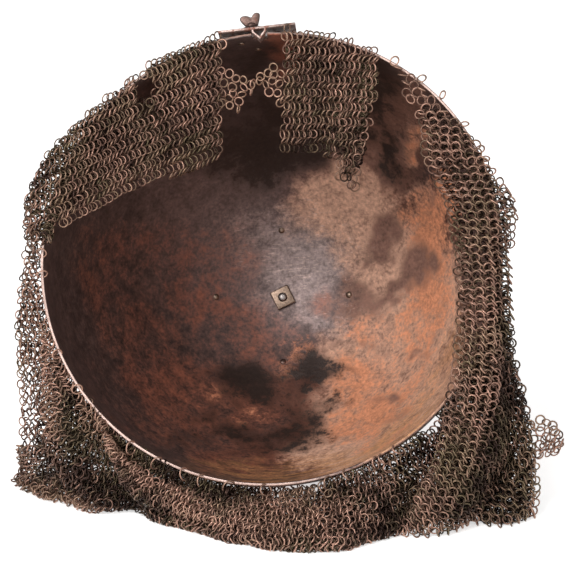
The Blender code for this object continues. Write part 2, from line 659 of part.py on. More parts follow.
clear_scene()
PARTS = collection("kulah_khud")
CUTTERS = collection("cutters")
main()
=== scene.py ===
"""Kulah khud helmet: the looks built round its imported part.

The skull, its fittings and the mail are modelled in the part's own frame (metres,
+Z up, the floor at z = 0, the mouth facing -Y) and ride on its bodies.
"""
from collections import namedtuple
from math import asin, ceil, cos, exp, floor, pi, radians, sin, sqrt

import bmesh
import bpy
import numpy as np
from bpy.props import FloatProperty, FloatVectorProperty, IntProperty, PointerProperty
from mathutils import Matrix, Vector, noise


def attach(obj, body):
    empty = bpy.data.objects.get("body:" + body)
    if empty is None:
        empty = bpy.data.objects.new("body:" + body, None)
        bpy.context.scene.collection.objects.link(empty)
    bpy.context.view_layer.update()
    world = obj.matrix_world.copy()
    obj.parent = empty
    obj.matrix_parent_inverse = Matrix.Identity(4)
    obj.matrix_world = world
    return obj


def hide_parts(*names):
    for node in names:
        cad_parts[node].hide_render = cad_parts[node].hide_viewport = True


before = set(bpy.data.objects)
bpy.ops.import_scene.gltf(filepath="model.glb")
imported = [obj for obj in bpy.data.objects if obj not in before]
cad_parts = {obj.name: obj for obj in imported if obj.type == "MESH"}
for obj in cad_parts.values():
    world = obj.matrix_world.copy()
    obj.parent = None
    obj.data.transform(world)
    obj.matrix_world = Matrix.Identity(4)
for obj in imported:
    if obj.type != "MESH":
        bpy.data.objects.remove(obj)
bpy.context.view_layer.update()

bl_info = {
    "name": "Kulah khud helmet",
    "version": (1, 0, 0),
    "blender": (4, 5, 0),
    "location": "3D View > Sidebar > Helmet",
    "description": "Builds the detailed skull, fittings and mail of a kulah khud helmet",
    "category": "Add Mesh",
}

MM = 0.001

# ---- sizes shared with the part
GAP = 0.3 * MM
SKULL_RADIUS = 104.0 * MM
SKULL_DEPTH = 138.0 * MM
SKULL_WALL = 1.4 * MM
RIM_OVAL = 0.013
RIM_OVAL_ANGLE = radians(53.0)
LEAN = radians(26.0)
TURN = radians(2.4)
ROLL = radians(4.7)
RIM_CENTRE = Vector((-5.5 * MM, -72.56 * MM, 111.05 * MM))
AIM_OFFSET = Vector((6.18 * MM, -3.94 * MM, -12.13 * MM))  # from it to where the camera aims

DENT_SIZE = 27 * MM
HAMMER_MARK_SIZE = 7 * MM
FADE_AT_RIM = 18 * MM             # the unevenness fades out within this far of the rim
FADE_AT_CROWN = 12 * MM           # and of the crown's middle
NOTCH_DEPTH = 16 * MM
NOTCH_ROUNDING = 0.8 * MM

BOLT_RADIUS = 2.0 * MM
BOLT_PROUD = 1.2 * MM
NUT_SIDE = 9.4 * MM
NUT_THICKNESS = 1.8 * MM
NUT_TWIST = radians(-22.0)
PLATE_THICKNESS = 1.2 * MM
PLATE_SEAT = 0.45 * MM
PLATE_LOBE = 41.0 * MM
PLATE_WAIST = 22.0 * MM
PLATE_GROOVE = 0.25 * MM
PLATE_GROOVE_AT = 0.84            # share of the way out at which the plate is grooved
PLATE_RIVET_CIRCLE = 33.0 * MM
PLATE_RIVET_TURN = radians(3.0)
SPIKE_HEIGHT = 111.9 * MM
RIVET_SHANK = 1.0 * MM
RIVET_HEAD = 1.65 * MM
RIVET_HEAD_HEIGHT = 0.8 * MM
RIVET_SINK = 0.1 * MM             # heads bed into the fine skull's true curve

BRACKET_WIDTH = 35.5 * MM
BRACKET_LENGTH = 30.0 * MM
BRACKET_THICKNESS = 1.1 * MM
BRACKET_STAND_OFF = 1.5 * MM
BRACKET_SKEW = radians(-2.5)
CHANNEL_HALF_WIDTH = 3.3 * MM
CHANNEL_DEPTH = 4.9 * MM
BRACKET_PROUD = 1.0 * MM
CHANNEL_LENGTH = 9.0 * MM
CHANNEL_WALL = 0.9 * MM
CHANNEL_OFFSET = 0.9 * MM
SCREW_OFFSET = -2.4 * MM
SCREW_SHANK = 1.5 * MM
SCREW_SET_BACK = 5.0 * MM
SCREW_REACH = 0.9 * MM
WASHER_RADIUS = 5.4 * MM
WASHER_THICKNESS = 1.0 * MM
WING_THICKNESS = 2.2 * MM

MAIL_THICKNESS = 2.0 * MM
MAIL_FOLD = 2.2 * MM
MAIL_OVER = 2.4 * MM
MAIL_HOOK = 3.0 * MM
MAIL_LAP = 3.8 * MM
SKIRT_CENTRE = 10.0 * MM
SKIRT_BACK = -0.6 * MM            # first rings stand this far behind the rim's edge

# Rows of the mail's sheets. phi goes round the rim, in degrees clockwise from the top
# of the mouth; places are from the rim's centre; lengths are in millimetres.
# A front flap's row: how far outside the rim it starts, its drop and its hem's swing.
Flap = namedtuple("Flap", "phi out drop swing_x swing_y")
FRONT_LEFT = [Flap(*row) for row in (
    (-15, 0.4, 52, 1, -1), (-22, 0.6, 54, 1, -3), (-30, 1.2, 51, -1, -1), (-38, 1.2, 47, 1.5, -4),
    (-46, 1.4, 41.5, 1, -2), (-54, 3, 35.5, 1, -4), (-62, 6.2, 28, 0.5, -4), (-69, 8.4, 20, 1, -5),
    (-75, 9.5, 11, 0.5, -4), (-81, 9, 4, -3, -3), (-86, 7, 3, -2, -3),
)]
FRONT_RIGHT = [Flap(*row) for row in (
    (3, 0.2, 52.5, -2, -1), (8, 0.2, 52, -1.5, -3.5), (12.5, 0, 51, -1, -0.5),
    (17, -0.4, 52, -1, -3.5), (21, -0.4, 60, -2.5, -1.5), (24.5, -0.4, 57, -5.5, -3.5),
    (27.5, -0.4, 45, -8, -1),
)]
LEFT_HEM_SLOPE = radians(20.5)    # the flaps' rows rise to the right by these slopes,
RIGHT_HEM_SLOPE = radians(1.0)
LEFT_HEM_COLUMN = 60              # counted from the hem at these columns of their grids
RIGHT_HEM_COLUMN = 20

# A sheet hung in one upright plane: its place across, its upper and lower edges.
Strap = namedtuple("Strap", "x top bottom")
TATTER = [Strap(*row) for row in (
    (119.5, -64, -84), (125, -67.5, -83), (130.5, -73, -81.5),
)]

# The curtain laid over the rim: its two edges at a height, and how far it stands in
# front of the mouth's plane at the left, in the middle and at the right.
Drape = namedtuple("Drape", "height left right lift_left lift_mid lift_right")
RIGHT_CURTAIN = [Drape(*row) for row in (
    (80, 54, 59, 3, 3.5, 3), (68, 61, 71.5, 3, 4, 3), (57, 68, 84.5, 3, 4.5, 3),
    (46, 68, 94, 3, 5.5, 3), (36, 72, 100, 3.5, 6.5, 2.5), (25, 79, 108.5, 4, 8, 0),
    (2, 82, 108, 5, 9, 1.5), (-28, 83, 107.5, 6, 9, 2.5), (-53, 79, 112, 8, 9.5, -2),
    (-75, 73, 118, 10, 9, -7), (-93, 64, 119, 11, 7, -13), (-109.5, 56, 119, 5, 2, -17),
)]

TATTER_PLACE = (RIM_CENTRE.x + 118 * MM, RIM_CENTRE.z - 74 * MM)
TATTER_BEHIND = 7.5 * MM          # the torn corner hangs this far behind the mouth's plane there
CURTAIN_TORN_ABOVE = 62.0 * MM    # above this the right curtain has lost many rings
# A valley down the right curtain: heights, its place across, depth and width.
VALLEY = ([40.0, 0.0, -50.0, -75.0, -93.0, -110.0],
          [0.80, 0.82, 0.84, 0.76, 0.66, 0.54],
          [0.0, 1.5, 5.0, 9.0, 12.0, 9.0],
          [0.15, 0.15, 0.14, 0.15, 0.15, 0.15])

# The curtain hung from the rim: where it meets the floor, where its tucked end lies,
# and how far it bellies out on its way down.
Skirt = namedtuple("Skirt", "phi foot_x foot_y end_x end_y belly")
NECK_CURTAIN = [Skirt(*row) for row in (
    (97, 110, -8, 90, -2, 2), (109, 106, -19, 84, 0, 2), (123, 93, -33, 72, 0, 2),
    (137, 76, -44, 58, 0, 3), (150, 58, -58, 45, -2, 3), (162, 41, -72, 32, -5, 3),
    (174, 23, -80, 17, -6, 2.5), (186, 3, -78, 1, -6, 2.5), (198, -18, -69, -16, -5, 3),
    (210, -38, -54, -32, -2, 5), (219, -51, -47, -43, 1, 7), (224, -57, -38, -47, 2, -1),
    (228, -64, -33, -52, 3, -8), (234, -82, -34, -62, 6, 5), (243, -98, -22, -72, 10, 7),
    (252, -112, -9, -83, 14, 7), (259, -118, 4, -90, 18, 7),
)]
# How far outside the rim the neck curtain's rings begin: phi, then millimetres.
NECK_GAP = ([97, 128, 134, 142, 150, 164, 172, 180, 188, 196, 208, 218, 224, 230, 259],
            [1.2, 1.4, 3.0, 3.0, 1.4, 1.4, 2.4, 3.0, 5.5, 7.0, 7.5, 6.0, 2.4, 1.2, 1.2])
NECK_SPLIT = 36.0 * MM            # the curtain is two meshes, parted this far left of the middle
NECK_LINING_GAP = 0.5 * MM        # the lining starts this far outside the rim
NECK_LINING_BACK = -1.6 * MM      # this far behind it
NECK_LINING_SINK = 3.0 * MM       # and hangs this far behind the straight way down
SIDE_STRIP = [Strap(*row) for row in (
    (-116, -40, -84), (-114.2, -20, -93), (-111.2, -3, -95), (-108, 11, -96), (-104.6, 14, -96),
    (-101, -24, -95), (-97.5, -37, -93), (-94, -46, -90),
)]
STRIP_TOP = 14.0                  # the strip is woven between these heights and trimmed to
STRIP_BOTTOM = -96.0              # its straps (mm from the rim's centre)
STRIP_FOOT = -86.0 * MM           # below this, seen from in front, the neck curtain covers it
STRIP_BEHIND = 5.0 * MM           # the strip hangs this far behind the mouth's middle

# ---- how the mail is woven
# pitch along a row and row_gap between rows in millimetres; the rings of alternate rows
# lean by lean and counter out of the sheet, towards a side that swing and counter_swing
# turn away from the row's own direction; jitter is how loose they lie, all in degrees;
# slack is how far they stray, in millimetres.
Weave = namedtuple("Weave", "pitch row_gap lean counter swing counter_swing jitter slack")
FLAP_WEAVE = Weave(2.35, 3.25, 37.0, -68.0, -12.0, -48.0, 7.0, 0.12)
RIGHT_FLAP_WEAVE = Weave(2.35, 3.25, 37.0, -68.0, 0.0, -30.0, 7.0, 0.12)
TATTER_WEAVE = Weave(2.9, 2.8, 30.0, -40.0, 0.0, 0.0, 24.0, 0.45)
CURTAIN_WEAVE = Weave(3.8, 2.4, -30.0, 66.0, -22.0, -45.0, 9.0, 0.15)
NECK_WEAVE = Weave(2.6, 3.0, 40.0, -55.0, 10.0, -20.0, 14.0, 0.25)
STRIP_WEAVE = Weave(2.8, 2.35, 42.0, -54.0, 0.0, 0.0, 12.0, 0.25)
NECK_FILL_WEAVE = Weave(2.0, 2.2, 42.0, -46.0, 0.0, 0.0, 18.0, 0.30)
FILL_WEAVE = Weave(2.6, 2.8, 42.0, -46.0, 0.0, 0.0, 18.0, 0.30)
EDGE_WEAVE = Weave(2.0, 2.2, 42.0, -46.0, 0.0, 0.0, 20.0, 0.30)

# Rings hooked through the rim: phi round the mouth, how far the middle stands outside
# the rim and in front of it, the ring's own diameter (mm), its turn about the rim's
# own line and its swing about the line out of the bowl (degrees).
RimRing = namedtuple("RimRing", "phi out forward diameter turn swing")
RIM_RINGS = [RimRing(*row) for row in (
    (-145, 1.6, 0.5, 7, 35, 20), (-152.2, 1.5, 0.5, 6.8, 35, -15), (-159.5, 1, 0.5, 6.6, 40, 25),
    (-164, 1.6, 0.5, 6.8, 35, 10), (-170.8, 1.8, 0.5, 7, 50, -30), (-179.8, 1.8, 0.5, 6.4, 55, 25),
    (164.8, 2.4, 0.5, 6.8, 45, -20), (159.8, 1.4, 0.5, 6.4, 40, 20), (152.2, 1.8, 0.5, 6.2, 40, -20),
    (150.2, 1.8, 0.5, 6.2, 45, 15), (146, 1.4, 0.5, 6.2, 40, 25), (-95.2, -1, 1, 5.4, 30, 10),
    (-89.8, -0.5, 1, 5.4, 45, -20), (-115.5, 0.6, 0.8, 5.4, 45, 20), (-125.5, 0.4, 0.8, 5.6, 50, -10),
    (-136.2, 2.4, 0.8, 6.4, 35, 15), (31, 0.4, 1, 5.2, 60, 10), (39, 0.8, 1, 5, 55, -20),
    (45.5, 1.6, 1, 4.6, 40, 30), (54.5, 0.8, 1, 4.4, 45, -30), (61.8, 0.8, 1, 4.8, 60, 10),
    (64.5, 1, 1, 4.6, 50, -20), (68, 1.4, 1, 4.6, 55, 15), (-14, -3, 2, 5.2, 75, 5),
)]

# Rings hanging free in front of the bowl: place across and height from the rim's
# centre, diameter (mm), turn about the upright and nod (degrees).
HangingRing = namedtuple("HangingRing", "x height diameter turn nod")
STRAP_RINGS = [HangingRing(*row) for row in (
    (-23.1, 75.6, 4.4, 16, 4), (-19.2, 74.3, 4.8, -24, -17), (-21.8, 69.8, 4.7, 22, -3),
    (-17.9, 67.7, 4.8, -9, -8), (-16.2, 72, 4.3, 11, 5), (-12.9, 71.3, 4.2, -23, -3),
    (-22.9, 60.5, 4.9, 20, 16), (-19.5, 62.5, 4.6, -11, 18), (-19.1, 59.4, 4.2, 15, -18),
    (-14.9, 61, 4.8, -14, 8), (-13.6, 64.3, 4.6, 10, 35), (-9.6, 68.9, 4.8, -20, -8),
    (-8.5, 69.8, 4.4, 50, 5), (-9.2, 65.7, 4.3, 78, 10), (-5.5, 70.9, 4.4, 45, -5),
    (-5, 72.7, 4.4, -8, -5), (-1.5, 74.5, 4.4, 14, -8), (0.9, 77.2, 4.6, -13, 0),
    (1.1, 73.6, 4.4, 18, -6), (-1.1, 65.5, 4.9, -14, -7), (0.4, 70.7, 4.4, 14, 6),
    (2.8, 65, 4.3, -17, -17), (4.1, 60.5, 4.8, 19, 8), (-15.1, 57.6, 4.4, 72, 5),
    (-12.6, 67.6, 4.6, -35, 20), (-17.6, 64.8, 4.6, 40, -15), (-22.6, 65.2, 4.6, -30, 12),
    (-2.6, 69, 4.5, -48, 10), (3.6, 69.6, 4.6, 30, 15), (4.4, 74, 4.6, -35, 12),
)]
HANGING_RINGS = [HangingRing(*row) for row in (
    (46.2, 63.2, 5.2, 5, 5), (44.6, 67.4, 4.6, 70, 0), (-24.6, 42.3, 4.8, 10, -5),
    (-52.8, 65, 5.2, 10, 5), (-62.8, 69.3, 4.8, 25, 10), (-63.5, 65, 4.8, 15, -5),
    (38.6, 20.4, 5, 20, 5), (36.6, 21.6, 4.6, 60, -10), (34.3, 24, 4.7, -35, 12),
    (37.6, 24.2, 4.6, 25, -14), (36, 27.2, 4.7, 70, 8), (33.2, 29, 4.6, -20, -10),
    (31.2, 25.4, 4.8, 15, 5), (36.4, 30.8, 4.7, -55, 15), (38.2, 28.6, 4.6, 35, -5),
)]

# Torn places in the mail: across and height from the rim's centre, and radius (mm).
LEFT_TEARS = ((-57.3, 69.5, 5.6), (-58.5, 64.5, 3.4))
LEFT_LINING_TEAR = (-57.3, 69.5, 6.0)
# Thin places in the neck curtain as seen from in front: across, up, width, height (mm).
NECK_THIN = (8.0, -104.0, 22.0, 7.0)
NECK_LINING_HOLES = ((7.0, -104.5, 19.0, 6.5), (69.0, -76.0, 8.0, 4.0))
NECK_THINNED = 0.4                # share of its rings that the thin place has lost
CURTAIN_KEPT = 0.8                # share that the torn top of the right curtain has kept
NECK_HANGS = 0.66                 # share of the neck curtain's length that isn't tucked under
SKULL_CLEARANCE = 2.2             # rings of the side strip keep this far off the skull (mm)

# ---- colours
def linear(hex_colour):
    """Linear colour of an sRGB hex value."""
    shares = [int(hex_colour[i:i + 2], 16) / 255 for i in (1, 3, 5)]
    return tuple(c / 12.92 if c <= 0.04045 else ((c + 0.055) / 1.055) ** 2.4 for c in shares)


def colour_property(name, description, hex_colour):
    """A colour setting, given as an sRGB hex value."""
    return FloatVectorProperty(name=name, description=description, subtype="COLOR", size=3,
                               min=0.0, max=1.0, default=linear(hex_colour))


# ---- settings
class HelmetSkullSettings(bpy.types.PropertyGroup):
    steps: IntProperty(name="Steps", description="Faces round the skull", default=192, min=48)
    rows: IntProperty(name="Rows", description="Rows of faces from crown to rim, each wall",
                      default=46, min=12)
    rim_bevel: FloatProperty(name="Rim rounding", description="Rounding of the rim's edges",
                             default=0.45 * MM, unit="LENGTH")
    dents: FloatProperty(name="Dents", description="Depth of the broad unevenness left by raising",
                         default=0.35 * MM, unit="LENGTH")
    hammering: FloatProperty(name="Hammering", description="Depth of the hammer marks",
                             default=0.09 * MM, unit="LENGTH")
    patina: colour_property("Patina", "Dark oxide of the iron", "#503f3b")
    # the haze is violet-brown oxide, lightened as a painted sheen where the key light gleams round the
    # crown
    haze: colour_property("Haze", "Violet-brown oxide round the crown", "#74605c")
    russet: colour_property("Russet", "Thin reddish-brown rust", "#85513f")
    tan: colour_property("Tan", "Dry light brown rust", "#bf967f")
    orange: colour_property("Orange", "Fresh rust", "#c38260")
    ochre: colour_property("Ochre", "Yellow rust brushed along the rim", "#b98559")
    # umber and soot also paint the shadows that the flaps cast on the bowl
    umber: colour_property("Umber", "Brown oxide showing through the rust", "#7b594c")
    soot: colour_property("Soot", "Black scale left between the rust", "#2f221d")
    # worn iron near the crown, lightened also as a painted sheen where the key light is reflected
    steel: colour_property("Steel", "Worn iron near the crown", "#95837f")
    # the edge colour also paints the highlight along the rim's edge
    edge: colour_property("Edge", "Metal rubbed bare on the rim", "#bfa69c")


class HelmetMailSettings(bpy.types.PropertyGroup):
    ring: FloatProperty(name="Ring", description="Outside diameter of a mail ring",
                        default=4.7 * MM, unit="LENGTH")
    wire: FloatProperty(name="Wire", description="Thickness of the ring wire",
                        default=0.76 * MM, unit="LENGTH")
    turns: IntProperty(name="Turns", description="Segments round a mail ring", default=12, min=8)
    dark: colour_property("Dark wire", "Oxide down in the weave", "#2a1a14")
    light: colour_property("Light wire", "Wire rubbed brown and bright", "#b48c7a")
    olive: colour_property("Olive wire", "Wire with a yellow-green cast", "#76694f")


class HelmetFittingSettings(bpy.types.PropertyGroup):
    steps: IntProperty(name="Steps", description="Faces round a turned fitting", default=40, min=16)
    iron: colour_property("Fitting iron", "Forged iron of screw, plate and spike", "#5a463f")
    bright: colour_property("Bracket iron", "Rubbed iron of the bracket", "#97827a")
    steel: colour_property("Fitting steel", "Nut and rivets", "#7d695b")
    bolt: colour_property("Bolt end", "Rubbed end of the bolt in the crown nut", "#8d8480")


class HelmetStageSettings(bpy.types.PropertyGroup):
    lens: FloatProperty(name="Lens", description="Focal length in millimetres", default=210.15)
    distance: FloatProperty(name="Distance", description="Camera to the helmet's mouth",
                            default=1.5, unit="LENGTH")
    elevation: FloatProperty(name="Elevation", description="Camera above the horizon",
                             default=radians(18.0), unit="ROTATION", subtype="ANGLE")
    key_power: FloatProperty(name="Key light", description="Power of the key light",
                             default=17.0, unit="POWER")
    fill: FloatProperty(name="Fill light", description="Strength of the light from all round",
                        default=0.52)
    floor: colour_property("Floor", "Pale table top", "#f4f2ef")
    glow: FloatProperty(name="Table glow", description="Light that the lit table gives by itself",
                        default=0.58)


# ---- small tools
def plug(node, sockets):
    """Give a node's sockets their values and links."""
    for name, value in sockets.items():
        if isinstance(value, bpy.types.NodeSocket):
            node.id_data.links.new(value, node.inputs[name])
        else:
            node.inputs[name].default_value = value


def add_node(tree, kind, sockets=None, out=0, stops=(), **settings):
    """Add a node with its settings, sockets and ramp stops, and give one of its outputs."""
    node = tree.nodes.new("ShaderNode" + kind)
    for name, value in settings.items():
        setattr(node, name, value)
    plug(node, sockets or {})
    for index, (place, colour) in enumerate(stops):
        while len(node.color_ramp.elements) <= index:
            node.color_ramp.elements.new(1.0)
        node.color_ramp.elements[index].position = place
        node.color_ramp.elements[index].color = colour
    return node.outputs[out]


def new_material(name):
    """A material with its node tree cleared down to the Principled shader."""
    made = bpy.data.materials.new(name)
    made.use_nodes = True
    return made, made.node_tree, made.node_tree.nodes["Principled BSDF"]


def opaque(colour, share=1.0):
    """A colour for a node's socket, darkened or lightened by a share."""
    return (*(Vector(colour) * share), 1.0)


def per_mm(size):
    """Texture scale that gives features of a size in millimetres."""
    return 1.0 / (size * MM)


def in_mm(points, base=0.0):
    """An outline given in millimetres, set on a base height."""
    return [(x * MM, base + z * MM) for x, z in points]


def put(name, data):
    """Put an object in the scene."""
    made = bpy.data.objects.new(name, data)
    bpy.context.scene.collection.objects.link(made)
    return made


def finish_piece(name, mesh, material, slot, nodes=None, body="helmet", sharp=radians(35.0)):
    """Put a finished mesh in the scene, riding on its body.

    It stands for the CAD nodes named, or for its slot's own node.
    """
    if len(mesh.polygons) == 0:
        raise RuntimeError(name + " has no faces")
    piece = put(name, mesh)
    mesh.materials.append(material)
    mesh.shade_smooth()
    if sharp:
        mesh.set_sharp_from_angle(angle=sharp)
    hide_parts(*([slot] if nodes is None else nodes))
    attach(piece, body)
    return piece


def to_mesh(bm, name, place=None):
    """Finish a bmesh: doubles merged, faces outwards, carried to its place."""
    bmesh.ops.remove_doubles(bm, verts=bm.verts[:], dist=1e-6)
    bmesh.ops.recalc_face_normals(bm, faces=bm.faces[:])
    if place is not None:
        bmesh.ops.transform(bm, matrix=place, verts=bm.verts[:])
    mesh = bpy.data.meshes.new(name)
    bm.to_mesh(mesh)
    bm.free()
    return mesh


def turned(profile, steps):
    """A turned solid: the profile is (radius, height), run down its outer side."""
    bm = bmesh.new()
    points = [bm.verts.new((radius, 0.0, height)) for radius, height in profile]
    for start, end in zip(points, points[1:]):
        bm.edges.new((start, end))
    bmesh.ops.spin(bm, geom=bm.verts[:] + bm.edges[:], cent=(0, 0, 0), axis=(0, 0, 1),
                   angle=2 * pi, steps=steps, use_merge=True)
    bmesh.ops.remove_doubles(bm, verts=bm.verts[:], dist=1e-6)
    return bm


def rounded(bm, edges, size, segments=2):
    """Round edges of a bmesh."""
    bmesh.ops.bevel(bm, geom=edges, offset=size, offset_type="OFFSET", segments=segments,
                    profile=0.5, affect="EDGES", material=-1)
    return bm


def block(size, centre, bevel, segments=2):
    """A box with rounded edges."""
    bm = bmesh.new()
    bmesh.ops.create_cube(bm, size=1.0)
    bmesh.ops.scale(bm, vec=size, verts=bm.verts[:])
    bmesh.ops.translate(bm, vec=centre, verts=bm.verts[:])
    return rounded(bm, bm.edges[:], bevel, segments)


def rod(radius, depth, steps):
    """A plain round rod, to bore a hole with."""
    bm = bmesh.new()
    bmesh.ops.create_cone(bm, cap_ends=True, segments=steps, radius1=radius, radius2=radius,
                          depth=depth)
    return bm


def pulled(outline, thickness, bevel, segments=2):
    """A flat outline in XZ, pulled along +Y and rounded at its two faces' edges."""
    bm = bmesh.new()
    face = bm.faces.new([bm.verts.new((x, 0.0, z)) for x, z in outline])
    grown = bmesh.ops.extrude_face_region(bm, geom=[face], use_keep_orig=True)["geom"]
    moved = [item for item in grown if isinstance(item, bmesh.types.BMVert)]
    bmesh.ops.translate(bm, vec=(0, thickness, 0), verts=moved)
    bmesh.ops.recalc_face_normals(bm, faces=bm.faces[:])
    edges = [e for e in bm.edges if abs(e.verts[0].co.y - e.verts[1].co.y) < 0.5 * thickness]
    return rounded(bm, edges, bevel, segments)


def carved(mesh, tool, operation="DIFFERENCE"):
    """Cut a mesh with another, or join the two, and return the result."""
    body = put("carved_body", mesh)
    cutter = put("carving_tool", tool)
    change = body.modifiers.new("carve", "BOOLEAN")
    change.operation = operation
    change.solver = "EXACT"
    change.object = cutter
    graph = bpy.context.evaluated_depsgraph_get()
    made = bpy.data.meshes.new_from_object(body.evaluated_get(graph))
    made.name = mesh.name
    for item in (body, cutter):
        bpy.data.objects.remove(item)
    for old in (mesh, tool):
        bpy.data.meshes.remove(old)
    return made


# ---- the helmet's own shape
LAY_DOWN = (Matrix.Translation(RIM_CENTRE) @ Matrix.Rotation(-TURN, 4, "Z")
            @ Matrix.Rotation(-(pi / 2 + LEAN), 4, "X") @ Matrix.Rotation(-ROLL, 4, "Z"))


def dome_height(radius, rim=SKULL_RADIUS, depth=SKULL_DEPTH):
    """Height of the dome over the rim plane at a distance from its axis."""
    return depth * sqrt(max(0.0, 1.0 - (radius / rim) ** 2))


def dome_tilt(radius):
    """Angle between the dome's normal and its axis at a distance from the axis."""
    slope = SKULL_DEPTH ** 2 * radius / (SKULL_RADIUS ** 2 * dome_height(radius))
    return Vector((slope, 0, 1)).angle(Vector((0, 0, 1)))


def rim_radius(angle):
    """Outer radius of the slightly oval rim; the angle is from the brow towards +X."""
    return SKULL_RADIUS * (1.0 + RIM_OVAL * cos(2 * (angle - ROLL - RIM_OVAL_ANGLE)))


def rim_point(phi, out=0.0, forward=0.0):
    """World point at the rim, phi degrees clockwise from the top of the mouth."""
    angle = radians(phi) + ROLL
    radius = rim_radius(angle) + out
    return LAY_DOWN @ Vector((radius * sin(angle), -radius * cos(angle), -forward))


def mouth_y(x, z):
    """World y of the mouth's plane at a place across and a height."""
    normal = LAY_DOWN.to_3x3() @ Vector((0, 0, 1))
    return RIM_CENTRE.y - (normal.x * (x - RIM_CENTRE.x) + normal.z * (z - RIM_CENTRE.z)) / normal.y


def plate_reach(angle):
    """Outline of the four-lobed plate: its reach at an angle from the brow."""
    lobe = (0.5 + 0.5 * cos(4 * (angle - PLATE_RIVET_TURN))) ** 1.6
    return PLATE_WAIST + (PLATE_LOBE - PLATE_WAIST) * lobe


def plate_rivet_places():
    """Frames of the crown's four rivets: origin on the skull, +Z out of it."""
    places = []
    for index in range(4):
        upright = Matrix.Translation((0, 0, dome_height(PLATE_RIVET_CIRCLE)))
        tilt = Matrix.Rotation(dome_tilt(PLATE_RIVET_CIRCLE), 4, "X")
        out = Matrix.Translation((0, -PLATE_RIVET_CIRCLE, 0))
        turn = Matrix.Rotation(PLATE_RIVET_TURN + index * pi / 2, 4, "Z")
        places.append(turn @ out @ upright @ tilt)
    return places


def bracket_frame():
    """The bracket's frame: X across, -Y outward, Z back along the helmet."""
    face = rim_radius(0.0) + BRACKET_STAND_OFF
    return Matrix.Translation((0, -face, 0)) @ Matrix.Rotation(BRACKET_SKEW, 4, "Z")


def bracket_rivet_places():
    """Frames of the two rivets that hold the bracket: origin on the brow, +Z outward."""
    places = []
    radius = rim_radius(0.0)
    for across, back in ((-0.8 * MM, 23.0 * MM), (-8.0 * MM, 11.0 * MM)):
        brow = sqrt(radius ** 2 - across ** 2) * sqrt(1 - (back / SKULL_DEPTH) ** 2)
        seat = bracket_frame() @ Matrix.Translation((across, radius + BRACKET_STAND_OFF - brow, back))
        places.append(seat @ Matrix.Rotation(pi / 2, 4, "X"))
    return places


def screw_frame():
    """Frame of the thumb screw: origin on the plate's underside, +Z along its axis."""
    seat = bracket_frame() @ Matrix.Translation((SCREW_OFFSET, 0, SCREW_SET_BACK))
    return seat @ Matrix.Rotation(pi / 2, 4, "X")


NUT_TOP = dome_height(NUT_SIDE / sqrt(2), SKULL_RADIUS - SKULL_WALL, SKULL_DEPTH - SKULL_WALL) - GAP
NUT_FACE = NUT_TOP - NUT_THICKNESS
